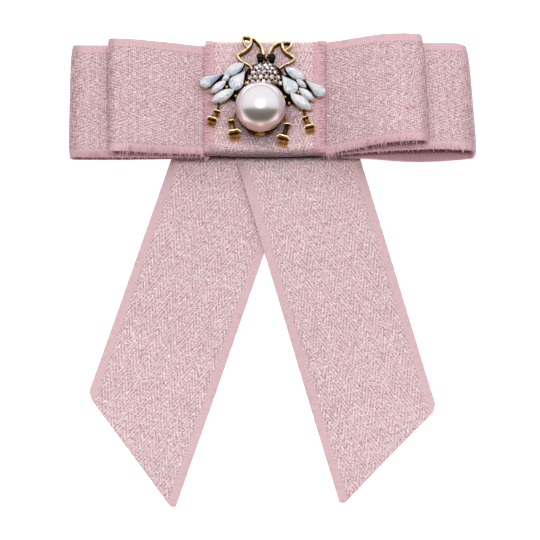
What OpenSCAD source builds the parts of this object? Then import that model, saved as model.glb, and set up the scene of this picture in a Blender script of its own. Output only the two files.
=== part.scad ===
// Ribbon bow brooch: two flat loops and two tails of pink herringbone ribbon,
// held by a wide knot band, with a jewelled insect on the knot and a safety pin
// on the back. It lies on its back: +Z is the front, +Y the top of the bow.
// The origin is the middle of the pin bar's outer face, where cloth is held.

/* [Ribbon] */
// Width of the ribbon, both selvages included
ribbon_w = 38; // [36:0.5:42]
// Thickness of the ribbon
ribbon_t = 1; // [0.8:0.1:1.3]
// Air between two layers of ribbon
layer_gap = 0.15; // [0.1:0.05:0.3]
// Length over which a loop widens again beside the knot
spread_l = 4; // [3:0.5:8]

/* [Loops] */
// Height of the pin bar above the bow's centre line
bow_drop = 4; // [1:0.5:6]
// Reach of the rear loop to the left of the centre
rear_reach_left = 62; // [56:1:74]
// Reach of the rear loop to the right of the centre
rear_reach_right = 66; // [60:1:78]
// Depth that the rear loop's table of heights is a share of
rear_depth = 10; // [6:0.5:11]
// Reach of the front loop to the left of the centre
front_reach_left = 49.8; // [40:0.2:54]
// Reach of the front loop to the right of the centre
front_reach_right = 51; // [42:0.5:56]
// Depth that the front loop's table of heights is a share of
front_depth = 8; // [5:0.5:12]

/* [Knot] */
// Outside height of the knot band, along Y
knot_h = 37.3; // [35:0.1:38]
// Outside radius of the knot band's folds
knot_fold = 2.2; // [1.6:0.1:3]
// Share by which the band's selvages stand out at the folds
knot_flare = 0.035; // [0:0.005:0.06]

/* [Tails] */
// Distance above the bow's centre line at which the tails start
tail_head = 9; // [6:0.5:11]
// Longer edge of the left tail
left_long = 142; // [120:1:160]
// Shorter edge of the left tail
left_short = 115.5; // [95:0.5:122]
// Angle of the left tail from straight down
left_angle = 18.8; // [12:0.1:24]
// Longer edge of the right tail
right_long = 139.5; // [120:0.5:160]
// Shorter edge of the right tail
right_short = 118; // [95:0.5:122]
// Angle of the right tail from straight down
right_angle = 16.5; // [12:0.1:24]
// Place of the tails' heads to the left and to the right of the centre
left_head = 0.5; // [0:0.1:4]
right_head = 2.4; // [0:0.1:4]
// Rise of the left tail's middle above its edges
left_crown = 0.7; // [0:0.1:1.5]
// Rise of the right tail's middle above its edges
right_crown = 2.2; // [0:0.1:2.4]

/* [Pin] */
// Length of the pin bar
bar_l = 37; // [32:1:42]
// Width of the pin bar
bar_w = 5.6; // [4:0.2:8]
// Thickness of the pin bar
bar_t = 0.8; // [0.6:0.1:1.4]
// Depth from the bar's face to the feet of the hinge and the catch
pin_depth = 5.2; // [4:0.2:7]
// Diameter of the needle
needle_d = 0.9; // [0.7:0.05:1.2]
// Thickness of the sheet that the hinge and the catch are bent from
ear_t = 0.8; // [0.6:0.1:1.2]
// Length of the hinge's ears along the bar
ear_l = 4.5; // [3.5:0.1:5]
// Length of the catch along the bar
catch_l = 3.1; // [2.4:0.1:3.4]
// Diameter of the hinge's barrel
barrel_d = 2.6; // [2:0.1:3.4]

/* [Insect] */
// Diameter of the pearl, which the whole figure follows
pearl_d = 16; // [14:0.5:17]
// Place of the pearl to the right of the knot's centre
insect_across = -1.3; // [-3:0.1:3]
// Distance of the pearl below the bow's centre line
insect_drop = 6.4; // [4:0.2:8]
// Slope of the wings, down and outward
wing_slope = 8; // [4:1:12]
// Wall of the metal bezels
bezel_wall = 0.32; // [0.25:0.01:0.5]
// Air between a stone or the pearl and its seat
seat_gap = 0.08; // [0.05:0.01:0.12]
// Diameter of a pave crystal
crystal_d = 1.6; // [1.3:0.05:1.65]
// Diameter of an eye stone
eye_d = 2.45; // [2:0.05:2.6]
// Width of the cast outline strip
horn_wall = 0.62; // [0.45:0.01:0.9]
// Height of the cast outline strip
horn_h = 2; // [1.4:0.1:2.6]

/* [Hidden] */

PINK = [0.86, 0.70, 0.74];
GOLD = [0.76, 0.58, 0.28];
OPAL = [0.82, 0.89, 0.94];

// Heights of the ribbon layers' middles in the knot, from the pin bar upwards
layer_pitch = ribbon_t + layer_gap;
floor_z = -pin_depth;
left_tail_z = bar_t + layer_gap + ribbon_t / 2;
right_tail_z = left_tail_z + layer_pitch;
band_back_z = left_tail_z + 2 * layer_pitch;
rear_back_z = left_tail_z + 3 * layer_pitch;
rear_face_z = left_tail_z + 4 * layer_pitch;
front_back_z = left_tail_z + 5 * layer_pitch;
band_front_z = left_tail_z + 7 * layer_pitch;
insect_z = band_front_z + ribbon_t / 2 + layer_gap;

knot_half = ribbon_w / 2;
// Share of the folds' inner radius by which they narrow the room in the knot
fold_room = 0.6;
// Half width left to a loop inside the knot
knot_fit = knot_h / 2 - ribbon_t - fold_room * (knot_fold - ribbon_t) - layer_gap / 2;
// Where the selvages start, as a share of the knot's half width
selvage_start = 0.76;
// How far a loop's fold bulges out, and the share of it that the corners lose
fold_bulge = 1.6 * ribbon_t;
fold_corner = 0.35;

// Distance from the knot's centre at which a loop's sides start to lift
loop_start = knot_half + 0.6 * ribbon_t;

// Sides of the loops, from the knot (0) to the fold (1)
// t, face lift, back lift, shift, roll, lean, of the side's length, the loop's
// depth (lifts), the ribbon's width (shift and lean) and degrees (roll)
REAR_LEFT = [[0, 0, 0, -0.030, 0, 0],
             [0.35, 0, -0.08, -0.028, 0, 0],
             [0.70, 0.01, -0.17, -0.026, 0, 0],
             [1, 0.03, -0.15, -0.026, 0, 0.004]];
REAR_RIGHT = [[0, 0, 0, -0.022, 0, 0],
              [0.25, 0.26, -0.10, -0.022, 5, 0],
              [0.60, 0.45, -0.50, -0.020, 8, -0.012],
              [0.85, 0.42, -0.44, -0.012, 8, -0.024],
              [1, 0.26, -0.28, -0.008, 7, -0.030]];
// The front loop's back lies on the rear loop's face, and its face lift starts from that back
FRONT_LEFT = [[0, 0, 0, -0.055, 0, 0],
              [0.40, 0.22, 0, -0.034, 0, 0],
              [0.80, 0.28, 0, -0.008, 0, -0.006],
              [1, 0.22, 0, 0, 0, -0.010]];
FRONT_RIGHT = [[0, 0, 0, -0.022, 0, 0],
               [0.25, 0.20, 0, -0.010, 5, 0],
               [0.60, 0.46, 0, 0.012, 8, -0.006],
               [0.85, 0.40, 0, 0.022, 8, -0.014],
               [1, 0.24, 0, 0.026, 8, -0.020]];
LOOP_ACROSS = [-1, -0.85, 0, 0.85, 1];
BAND_ACROSS = [-1, -0.88, -selvage_start, 0, selvage_start, 0.88, 1];

// Heights along a tail, from its head (0) to its tip (1), as shares of its drop
LEFT_FALL = [[0, 1], [0.14, 1], [0.21, 0.97], [0.5, 0.48], [0.76, 0.06], [0.86, 0], [1, 0]];
RIGHT_FALL = [[0, 1], [0.14, 1], [0.21, 0.995], [0.5, 0.68], [0.8, 0.08], [0.89, 0], [1, 0]];
TAIL_ACROSS = [-1, -0.96, -0.88, -0.45, 0, 0.45, 0.88, 0.96, 1];
// Rounding of a tail's corners and where it starts, as shares of the width and the half width
tip_round = 0.045;
tip_start = 0.88;
// Place along a tail, as a share of its length, at which its middle starts to rise
arch_start = 0.45;

pearl_r = pearl_d / 2;
pearl_z = 0.9 * pearl_r;
pearl_flat = 0.8 * pearl_r;
cup_foot_r = 0.86 * pearl_r;
cup_rim_r = 0.965 * pearl_r;
cup_foot_h = 0.14 * pearl_r;
cup_h = 0.42 * pearl_r;

// Wing stones, as shares of the pearl's radius and in degrees
// kind, across, along, length, width, turn of the long axis or of a pear's point
LEFT_STONES = [["marquise", -1.04, 1.73, 0.86, 0.38, 29],
               ["pear", -2.01, 1.31, 0.90, 0.43, 24],
               ["marquise", -1.71, 1.00, 0.70, 0.28, 38],
               ["marquise", -1.40, 1.37, 0.22, 0.16, 38],
               ["pear", -0.88, 1.28, 0.80, 0.55, 52],
               ["marquise", -1.52, 0.60, 0.95, 0.40, 27]];
RIGHT_STONES = [["marquise", 1.38, 1.57, 0.83, 0.36, -29],
                ["pear", 2.15, 0.99, 0.86, 0.43, 144],
                ["marquise", 1.84, 0.69, 0.70, 0.28, -39],
                ["marquise", 1.64, 1.10, 0.42, 0.19, -39],
                ["pear", 1.11, 1.11, 0.80, 0.53, 127],
                ["marquise", 1.60, 0.32, 0.96, 0.41, -36]];
// Levels of a cut stone, from the back to the table: share of the outline, height
STONE_CUT = [[0.40, -0.105], [1, -0.015], [1, 0.010], [0.72, 0.075], [0.44, 0.115]];
GRAINS = [[-1.34, 1.00], [1.50, 0.78], [0.97, 0.58], [1.13, 0.32]];
// Small balls between the stones, their stems and their height
grain_r = 0.065 * pearl_r;
stem_r = 0.05 * pearl_r;
grain_z = 0.34 * pearl_r;
// Height of the girdles where the slope of the wings starts, and where that is
wing_z = 0.385 * pearl_r;
wing_root = 0.9 * pearl_r;
bezel_depth = 0.14 * pearl_r;
bezel_lip = 0.02 * pearl_r;
// A grown outline's points move this much further than its sides
point_growth = 1.6;
web_z = 0.08 * pearl_r;
web_h = 0.10 * pearl_r;

// Pave dome: centre and half axes, as shares of the pearl's radius
dome_at = [0.13, 1.34] * pearl_r;
dome_axes = [0.84, 0.76, 0.60] * pearl_r;
// Rows of crystals: along from the dome's centre, number of stones, offset across
PAVE_ROWS = [[-0.20, 7, 0.00], [0.005, 6, 0.00], [0.21, 5, 0.01], [0.40, 4, 0.02], [0.56, 3, 0.03]];
pave_pitch = 0.218 * pearl_r;
// Levels of a crystal, from its back to its table: share of the radius, share of the diameter
CRYSTAL_CUT = [[0.45, -0.42], [1, -0.06], [1, 0.06], [0.56, 0.34]];

eye_r = eye_d / 2;
EYES = [[-0.03, 2.20], [0.42, 2.19]];
eye_z = 0.40 * pearl_r;
eye_rise = 0.25 * eye_r;
eye_foot_z = 0.12 * pearl_r;
eye_wall = 0.1;
head_axes = [0.19, 0.24, 0.20] * pearl_r;
head_at = concat((EYES[0] + EYES[1]) / 2 * pearl_r + [0, 0.06 * pearl_r], 0.26 * pearl_r);
neck_w = 0.2 * pearl_r;

// Cast outlines beside the head, as shares of the pearl's radius
LEFT_ARC = [[0.13, 2.36], [0.08, 2.54], [-0.01, 2.78], [-0.20, 2.98], [-0.42, 3.07], [-0.70, 3.12]];
LEFT_TIP = [[-0.70, 3.12], [-0.73, 3.00], [-0.63, 2.80], [-0.50, 2.64]];
LEFT_SIDE = [[-0.37, 3.03], [-0.40, 2.80], [-0.54, 2.58], [-0.78, 2.43], [-0.93, 2.31]];
LEFT_FOOT = [[-0.93, 2.31], [-0.82, 2.15], [-0.64, 2.02], [-0.42, 1.88], [-0.32, 1.72]];
RIGHT_ARC = [[0.33, 2.38], [0.42, 2.60], [0.58, 2.78], [0.80, 2.87], [1.03, 2.88], [1.24, 2.86]];
RIGHT_TIP = [[1.24, 2.86], [1.21, 2.73], [1.10, 2.60], [0.98, 2.52]];
RIGHT_SIDE = [[0.85, 2.85], [0.92, 2.60], [1.04, 2.44], [1.24, 2.31], [1.37, 2.18]];
RIGHT_FOOT = [[1.37, 2.18], [1.20, 2.04], [0.98, 1.94], [0.74, 1.78]];
horn_z = 0.13 * pearl_r;

// Legs, as shares of the pearl's radius: root, knob, foot, turn of knob and foot
LEGS = [[[-1.62, 0.62], [-1.70, 0.08], [-1.90, -0.22], -18, -16],
        [[-0.86, 0.10], [-1.16, -0.32], [-1.06, -0.77], 8, 10],
        [[0.88, 0.08], [1.07, -0.46], [0.92, -1.00], -4, -16],
        [[1.66, 0.40], [1.76, -0.18], [1.93, -0.54], 18, 14]];
// Levels of a leg's foot, from the ribbon up: half width, half depth, slide, height
CLAW = [[0.12, 0.08, -0.22, 0.03], [0.17, 0.10, -0.13, 0.12],
        [0.205, 0.09, -0.03, 0.24], [0.215, 0.05, 0, 0.30]];
claw_bend = 0.3;
// Size of a knob's claw, as a share of the foot's, and how far it lies below the leg's middle
knob_share = 0.62;
knob_drop = 0.12 * pearl_r;
leg_z = 0.17 * pearl_r;
wire_r = 0.05 * pearl_r;
knob_r = 0.1 * pearl_r;
SHANK_R = [0.068, 0.106] * pearl_r;

function smooth(t) = let(c = min(1, max(0, t))) c * c * (3 - 2 * c);
function lerp(a, b, t) = a + (b - a) * t;
function unit(v) = v / norm(v);

// Smooth value of column k of a table at x, its rows sorted by column 0
function row_of(rows, x, i = 0) =
    i >= len(rows) - 2 || x <= rows[i + 1][0] ? i : row_of(rows, x, i + 1);
function slope_at(rows, i, k) =
    let(a = rows[max(0, i - 1)], b = rows[min(len(rows) - 1, i + 1)]) (b[k] - a[k]) / (b[0] - a[0]);
function curve(rows, x, k) =
    let(i = row_of(rows, x), h = rows[i + 1][0] - rows[i][0], t = (x - rows[i][0]) / h,
        t2 = t * t, t3 = t2 * t)
    (2 * t3 - 3 * t2 + 1) * rows[i][k] + (t3 - 2 * t2 + t) * h * slope_at(rows, i, k)
    + (3 * t2 - 2 * t3) * rows[i + 1][k] + (t3 - t2) * h * slope_at(rows, i + 1, k);

// Two triangles for the square with corners a, b, c and d
function quad(a, b, c, d) = [[a, b, c], [a, c, d]];

// End face of a ring of n points that mirrors about the line from its first to its middle point
function end_cap(n) = concat([[0, 1, n - 1], [n / 2 - 1, n / 2, n / 2 + 1]],
    [for (j = [1 : n / 2 - 2]) each quad(j, j + 1, n - 1 - j, n - j)]);
// Closed body through such rings of equal size, from the first ring to the last
module loft(rings) {
    n = len(rings[0]);
    last = (len(rings) - 1) * n;
    points = [for (ring = rings) each ring];
    sides = [for (i = [0 : len(rings) - 2], j = [0 : n - 1])
        each quad(i * n + j, (i + 1) * n + j, (i + 1) * n + (j + 1) % n, i * n + (j + 1) % n)];
    top = [for (t = end_cap(n)) [last + t[2], last + t[1], last + t[0]]];
    polyhedron(points, concat(sides, end_cap(n), top));
}

// Wall of ribbon around the surface mid(u, q), u along and q across from -1 to 1
function wall_normal(mid, u, q, du = 0.004, dq = 0.01) =
    unit(cross(mid(u + du, q) - mid(u - du, q), mid(u, q + dq) - mid(u, q - dq)));
module ribbon(mid, along, across, closed) {
    n = len(along);
    m = len(across);
    ring = 2 * m;
    points = [for (u = along) let(normals = [for (q = across) wall_normal(mid, u, q) * ribbon_t / 2])
        each concat([for (j = [0 : m - 1]) mid(u, across[j]) + normals[j]],
                    [for (j = [m - 1 : -1 : 0]) mid(u, across[j]) - normals[j]])];
    sides = [for (i = [0 : closed ? n - 1 : n - 2], j = [0 : ring - 1])
        let(a = i * ring, b = (i + 1) % n * ring, k = (j + 1) % ring)
        each quad(a + j, a + k, b + k, b + j)];
    last = (n - 1) * ring;
    caps = closed ? [] : [for (j = [0 : m - 2])
        each concat(quad(j + 1, j, ring - 1 - j, ring - 2 - j),
                    quad(last + j, last + j + 1, last + ring - 2 - j, last + ring - 1 - j))];
    polyhedron(points, concat(sides, caps));
}

// Place along one side of a loop: 0 at the knot, 1 where the fold starts
function side_share(x, reach) = max(0, (abs(x) - loop_start) / (reach - fold_bulge - loop_start));
function spread(x) = smooth((abs(x) - knot_half - layer_gap) / spread_l);
function half_w(x) = lerp(knot_fit, ribbon_w / 2, spread(x));
function rear_table(x) = x < 0 ? REAR_LEFT : REAR_RIGHT;
function rear_reach(x) = x < 0 ? rear_reach_left : rear_reach_right;
function front_table(x) = x < 0 ? FRONT_LEFT : FRONT_RIGHT;
function front_reach(x) = x < 0 ? front_reach_left : front_reach_right;

// Middle heights of the four walls of the two loops
function rear_face(x) = rear_face_z + rear_depth * curve(rear_table(x), side_share(x, rear_reach(x)), 1);
function rear_back(x) = rear_back_z + rear_depth * curve(rear_table(x), side_share(x, rear_reach(x)), 2);
function rear_roll(x) = curve(rear_table(x), side_share(x, rear_reach(x)), 4);
function layer_rise(x) = let(s = (rear_face(x + 0.2) - rear_face(x - 0.2)) / 0.4)
    layer_pitch * sqrt(1 + s * s + tan(rear_roll(x)) ^ 2);
function front_back(x) = rear_face(x) + layer_rise(x);
function front_face(x) = front_back(x) + layer_rise(x)
    + front_depth * curve(front_table(x), side_share(x, front_reach(x)), 1);

// Point of a loop's wall: z is the wall's middle height, roll tips its top edge down
function wall_point(x, q, z, roll, table, reach) =
    let(s = side_share(x, reach),
        y = spread(x) * ribbon_w * curve(table, s, 3) + q * half_w(x) * cos(roll))
    [x + q * ribbon_w * curve(table, s, 5), y, z - y * tan(roll)];
function rear_wall(x, q, face) = wall_point(x, q, face ? rear_face(x) : rear_back(x),
    face ? rear_roll(x) : 0, rear_table(x), rear_reach(x));
function front_wall(x, q, face) = wall_point(x, q, face ? front_face(x) : front_back(x),
    rear_roll(x), front_table(x), front_reach(x));

// Loop as one ring: u 0-1 face, 1-2 right fold, 2-3 back, 3-4 left fold
function fold_point(a, b, t, side, q) =
    (a + b) / 2 + (a - b) / 2 * cos(180 * t)
    + [side * sin(180 * t) * fold_bulge * (1 - fold_corner * q ^ 6), 0, 0];
function loop_mid(wall, left, right) = function(u, q)
    let(v = (u + 4) % 4, s = floor(v), t = v - s, x0 = fold_bulge - left, x1 = right - fold_bulge)
    s == 0 ? wall(lerp(x0, x1, t), q, true)
    : s == 1 ? fold_point(wall(x1, q, true), wall(x1, q, false), t, 1, q)
    : s == 2 ? wall(lerp(x1, x0, t), q, false)
    : fold_point(wall(x0, q, false), wall(x0, q, true), t, -1, q);
function loop_along(left, right) =
    let(span = left + right - 2 * fold_bulge, edge = (left - fold_bulge - loop_start) / span,
        other = (left - fold_bulge + loop_start) / span,
        face = [0, 0.04, 0.10, 0.16, edge - 0.045, edge - 0.02, edge, 0.5 * (edge + other),
                other, other + 0.02, other + 0.045, other + 0.08, other + 0.13, 0.90, 0.96])
    concat(face, [for (i = [0 : 4]) 1 + i / 5],
           [2, for (i = [len(face) - 1 : -1 : 1]) 3 - face[i]], [for (i = [0 : 4]) 3 + i / 5]);

module rear_loop() {
    color(PINK)
    translate([0, -bow_drop, 0])
        ribbon(loop_mid(function(x, q, face) rear_wall(x, q, face), rear_reach_left, rear_reach_right),
               loop_along(rear_reach_left, rear_reach_right), LOOP_ACROSS, true);
}

module front_loop() {
    color(PINK)
    translate([0, -bow_drop, 0])
        ribbon(loop_mid(function(x, q, face) front_wall(x, q, face), front_reach_left, front_reach_right),
               loop_along(front_reach_left, front_reach_right), LOOP_ACROSS, true);
}

// Knot band: u 0-1 and each second stretch a fold, the others flat
function band_point(u, q) =
    let(v = (u + 8) % 8, s = floor(v), t = v - s, j = floor(s / 2),
        r = knot_fold - ribbon_t / 2,
        hy = knot_h / 2 - knot_fold, hz = (band_front_z - band_back_z) / 2 - r,
        signs = [[1, 1], [-1, 1], [-1, -1], [1, -1]],
        at = function(k, a) [signs[k % 4][0] * hy + r * cos(a), signs[k % 4][1] * hz + r * sin(a)],
        p = s % 2 == 0 ? at(j, 90 * j + 90 * t)
            : lerp(at(j, 90 * j + 90), at(j + 1, 90 * j + 90), t),
        edge = max(0, (abs(q) - selvage_start) / (1 - selvage_start)))
    [q * knot_half, p[0] * (1 + knot_flare * edge), (band_back_z + band_front_z) / 2 + p[1]];

module knot_band() {
    color(PINK)
    translate([0, -bow_drop, 0])
        ribbon(function(u, q) band_point(u, q),
               [for (j = [0 : 3]) each [2 * j, 2 * j + 0.33, 2 * j + 0.67, 2 * j + 1, 2 * j + 1.5]],
               BAND_ACROSS, true);
}

// Tail: u runs from the head to the cut tip, q across, side -1 left and 1 right
function tail_mid(side, head, angle, long_l, short_l, head_z, crown, fall) = function(u, q)
    let(slant = -side * q, corner = max(0, (abs(q) - tip_start) / (1 - tip_start)),
        l = lerp(short_l, long_l, (slant + 1) / 2) - tip_round * ribbon_w * corner ^ 2,
        s = u * l, reach = (long_l + short_l) / 2,
        low_z = floor_z + ribbon_t / 2,
        z = low_z + (head_z - low_z) * max(0, min(1, curve(fall, min(1, s / reach), 1))),
        arch = crown * smooth(2 * (s / reach - arch_start)) * (1 - q * q),
        out = q * ribbon_w / 2)
    [side * (head + s * sin(angle)) + out * cos(angle),
     tail_head - s * cos(angle) + side * out * sin(angle),
     z + arch];

module tail(mid) {
    ribbon(mid, [for (i = [0 : 18]) i / 18], TAIL_ACROSS, false);
}

module left_tail() {
    color(PINK)
    translate([0, -bow_drop, 0])
        tail(tail_mid(-1, left_head, left_angle, left_long, left_short, left_tail_z,
                      left_crown, LEFT_FALL));
}

module right_tail() {
    color(PINK)
    translate([0, -bow_drop, 0])
        tail(tail_mid(1, right_head, right_angle, right_long, right_short, right_tail_z,
                      right_crown, RIGHT_FALL));
}

// Safety pin: bar, hinge, needle and catch in one piece
module pin_clasp() {
    hinge_x = (bar_l - ear_l) / 2 - ear_t;
    needle_z = floor_z / 2;
    color("silver")
    union() {
        linear_extrude(bar_t)
            union() {
                square([bar_l - bar_w, bar_w], center = true);
                for (side = [-1, 1]) translate([side * (bar_l - bar_w) / 2, 0]) circle(d = bar_w, $fn = 48);
            }
        // Hinge: two ears and the barrel between them
        for (side = [-1, 1])
            translate([-hinge_x - ear_l / 2, side * (bar_w / 2 - ear_t) - ear_t / 2, floor_z])
                cube([ear_l, ear_t, pin_depth + bar_t / 2]);
        translate([-hinge_x, 0, needle_z])
            rotate([90, 0, 0]) cylinder(d = barrel_d, h = bar_w - ear_t, center = true, $fn = 40);
        translate([-hinge_x, 0, needle_z])
            rotate([0, 90, 0]) cylinder(d = needle_d, h = 2 * hinge_x, $fn = 32);
        translate([hinge_x, 0, needle_z])
            rotate([0, 90, 0]) cylinder(d1 = needle_d, d2 = needle_d / 4, h = ear_l, $fn = 32);
        // Catch: a round guard bent over the needle, on a post and a foot
        translate([hinge_x, 0, needle_z])
            rotate([0, 90, 0])
            difference() {
                cylinder(d = pin_depth, h = catch_l, center = true, $fn = 48);
                translate([0, 0, -ear_l])
                    cylinder(d = pin_depth - 2 * ear_t, h = 2 * ear_l, $fn = 48);
            }
        translate([hinge_x - catch_l / 2, -ear_t / 2, floor_z])
            cube([catch_l, ear_t, pin_depth + bar_t / 2]);
        translate([hinge_x - catch_l / 2, -bar_w / 4, floor_z])
            cube([catch_l, bar_w / 2, ear_t]);
    }
}

// Outlines of the stones, n points, half length a and half width b
function marquise(a, b, n = 14) =
    let(r = (a * a + b * b) / (2 * b), h = n / 2, y = function(x) sqrt(r * r - x * x) - (r - b))
    concat([for (i = [0 : h - 1]) let(x = a * cos(180 * i / h)) [x, y(x)]],
           [for (i = [0 : h - 1]) let(x = -a * cos(180 * i / h)) [x, -y(x)]]);
// A pear has its round end at -a and its point at a
function pear(a, b, n = 14) =
    let(c = b - a, turn = acos(b / (a - c)))
    concat([[a, 0]], [for (i = [0 : n - 2]) let(g = turn + (360 - 2 * turn) * i / (n - 2))
        [c + b * cos(g), b * sin(g)]]);
function outline(s, grow) =
    let(a = s[3] * pearl_r / 2, b = s[4] * pearl_r / 2)
    s[0] == "pear" ? pear(a + point_growth * grow, b + grow) : marquise(a + point_growth * grow, b + grow);

// Stones lie on a slope that falls away from the body on both sides
module wing_place(s) {
    side = s[1] < 0 ? -1 : 1;
    drop = (abs(s[1]) * pearl_r - wing_root) * tan(wing_slope);
    translate([s[1] * pearl_r, s[2] * pearl_r, wing_z - drop])
        rotate([0, side * wing_slope, 0])
        rotate([0, 0, s[5]])
        children();
}

module wing_stone(s) {
    color(OPAL)
    wing_place(s)
        loft([for (level = STONE_CUT)
            [for (p = outline(s, 0)) [p[0] * level[0], p[1] * level[0], level[1] * pearl_r]]]);
}

module bezel(s) {
    wing_place(s)
        translate([0, 0, -bezel_depth])
        linear_extrude(bezel_depth + bezel_lip)
        polygon(outline(s, seat_gap + bezel_wall));
}

module stone_seat(s) {
    wing_place(s)
        translate([0, 0, (STONE_CUT[0][1] * pearl_r) - seat_gap])
        linear_extrude(pearl_r)
        polygon(outline(s, seat_gap));
}

// Thin plate under a wing, through its stones' centres and the body
module wing_web(stones, body) {
    translate([0, 0, web_z])
        linear_extrude(web_h)
        polygon(concat([for (p = body) p * pearl_r],
                       [for (i = [0, 1, 2, 5]) [stones[i][1], stones[i][2]] * pearl_r]));
}

// Strip of metal on edge along a curve through the given points
function bend_at(p, i, t) =
    let(n = len(p) - 1, a = p[max(0, i - 1)], b = p[i], c = p[i + 1], d = p[min(n, i + 2)],
        m0 = (c - a) / 2, m1 = (d - b) / 2, t2 = t * t, t3 = t2 * t)
    (2 * t3 - 3 * t2 + 1) * b + (t3 - 2 * t2 + t) * m0 + (3 * t2 - 2 * t3) * c + (t3 - t2) * m1;
function smooth_path(p, steps = 3) =
    concat([for (i = [0 : len(p) - 2], k = [0 : steps - 1]) bend_at(p, i, k / steps)], [p[len(p) - 1]]);
module strip_on_edge(points, width, height) {
    p = smooth_path(points * pearl_r);
    n = len(p) - 1;
    normal = [for (i = [0 : n]) let(d = unit(p[min(n, i + 1)] - p[max(0, i - 1)])) [-d[1], d[0]] * width / 2];
    linear_extrude(height)
        union() {
            polygon(concat([for (i = [0 : n]) p[i] + normal[i]], [for (i = [n : -1 : 0]) p[i] - normal[i]]));
            for (i = [0, n]) translate(p[i]) circle(d = width, $fn = 24);
        }
}

module horns() {
    translate([0, 0, horn_z])
        for (path = [LEFT_ARC, LEFT_TIP, LEFT_SIDE, LEFT_FOOT, RIGHT_ARC, RIGHT_TIP, RIGHT_SIDE, RIGHT_FOOT])
            strip_on_edge(path, horn_wall, horn_h);
}

// Two-lobed foot of a leg, which slopes from its top ridge down to the ribbon
module claw(size) {
    n = 14;
    loft([for (c = CLAW) [for (i = [0 : n - 1])
        let(g = 360 * i / n, x = c[0] * cos(g))
        [x, c[1] * sin(g) + c[2] - claw_bend * abs(x), c[3]] * size]]);
}

module rod(a, b, r1, r2) {
    d = b - a;
    translate(a)
        rotate([0, acos(d[2] / norm(d)), atan2(d[1], d[0])])
        cylinder(h = norm(d), r1 = r1, r2 = r2, $fn = 24);
}

module leg(spec) {
    root = [spec[0][0], spec[0][1], 0] * pearl_r + [0, 0, leg_z];
    knob = [spec[1][0], spec[1][1], 0] * pearl_r + [0, 0, leg_z];
    foot = [spec[2][0], spec[2][1], 0] * pearl_r + [0, 0, leg_z];
    rod(root, knob, wire_r, wire_r);
    rod(knob, foot, SHANK_R[0], SHANK_R[1]);
    translate(knob) sphere(r = knob_r, $fn = 24);
    translate([knob[0], knob[1], leg_z - knob_drop]) rotate(spec[3]) claw(pearl_r * knob_share);
    translate([foot[0], foot[1], 0]) rotate(spec[4]) claw(pearl_r);
}

// Cup under the pearl, whose seat is a ball with a flat back
module pearl_body(grow) {
    intersection() {
        translate([0, 0, pearl_z]) sphere(r = pearl_r + grow, $fn = 96);
        translate([0, 0, pearl_z - pearl_flat - grow])
            cylinder(r = 2 * pearl_r, h = 3 * pearl_r);
    }
}

module pearl_cup() {
    cylinder(r = cup_foot_r, h = cup_foot_h, $fn = 64);
    translate([0, 0, cup_foot_h])
        cylinder(r1 = cup_foot_r, r2 = cup_rim_r, h = cup_h - cup_foot_h, $fn = 64);
}

// Place on the dome's surface, turned so that +Z stands off it
function dome_z(p) = dome_axes[2] * sqrt(max(0, 1 - (p[0] / dome_axes[0]) ^ 2 - (p[1] / dome_axes[1]) ^ 2));
module on_dome(p) {
    z = dome_z(p);
    n = unit([p[0] / dome_axes[0] ^ 2, p[1] / dome_axes[1] ^ 2, z / dome_axes[2] ^ 2]);
    translate([dome_at[0] + p[0], dome_at[1] + p[1], z])
        rotate([0, acos(n[2]), atan2(n[1], n[0])])
        children();
}
function pave_places() = [for (row = PAVE_ROWS, i = [0 : row[1] - 1])
    [row[2] * pearl_r + (i - (row[1] - 1) / 2) * pave_pitch, row[0] * pearl_r]];

module dome() {
    difference() {
        translate([dome_at[0], dome_at[1], 0]) scale(dome_axes) sphere(r = 1, $fn = 64);
        translate([0, 0, -pearl_r]) cube([4 * pearl_r, 6 * pearl_r, 2 * pearl_r], center = true);
    }
}

module crystal_seats() {
    for (p = pave_places()) on_dome(p)
        translate([0, 0, CRYSTAL_CUT[0][1] * crystal_d - seat_gap])
        cylinder(d = crystal_d + 2 * seat_gap, h = crystal_d, $fn = 32);
}

module head() {
    translate(head_at) scale(head_axes) sphere(r = 1, $fn = 40);
    for (e = EYES)
        translate([e[0] * pearl_r, e[1] * pearl_r, eye_foot_z])
            cylinder(r = eye_r + eye_wall, h = eye_z - eye_foot_z, $fn = 40);
    translate([head_at[0] - neck_w / 2, dome_at[1], web_z])
        cube([neck_w, head_at[1] - dome_at[1], neck_w]);
}

module eye_body(i, grow) {
    translate([EYES[i][0] * pearl_r, EYES[i][1] * pearl_r, eye_z + eye_rise])
        sphere(r = eye_r + grow, $fn = 40);
}

// Small ball on a stem between the stones
module grain(p) {
    translate([p[0], p[1], web_z]) cylinder(r = stem_r, h = grain_z - web_z, $fn = 20);
    translate([p[0], p[1], grain_z]) sphere(r = grain_r, $fn = 24);
}

module insect_metal() {
    difference() {
        union() {
            pearl_cup();
            dome();
            head();
            horns();
            wing_web(LEFT_STONES, [[-0.2, 0.2], [-0.2, 1.5]]);
            wing_web(RIGHT_STONES, [[0.2, 0.2], [0.4, 1.5]]);
            for (s = LEFT_STONES) bezel(s);
            for (s = RIGHT_STONES) bezel(s);
            for (spec = LEGS) leg(spec);
            for (p = GRAINS) grain(p * pearl_r);
        }
        for (s = LEFT_STONES) stone_seat(s);
        for (s = RIGHT_STONES) stone_seat(s);
        crystal_seats();
        pearl_body(seat_gap);
        for (i = [0, 1]) eye_body(i, seat_gap);
    }
}

module on_knot() {
    translate([insect_across, -bow_drop - insect_drop, insect_z]) children();
}

module insect_frame() {
    color(GOLD) on_knot() insect_metal();
}

module pearl() {
    color("white") on_knot() pearl_body(0);
}

module eye(i) {
    color("black") on_knot() eye_body(i, 0);
}

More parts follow.
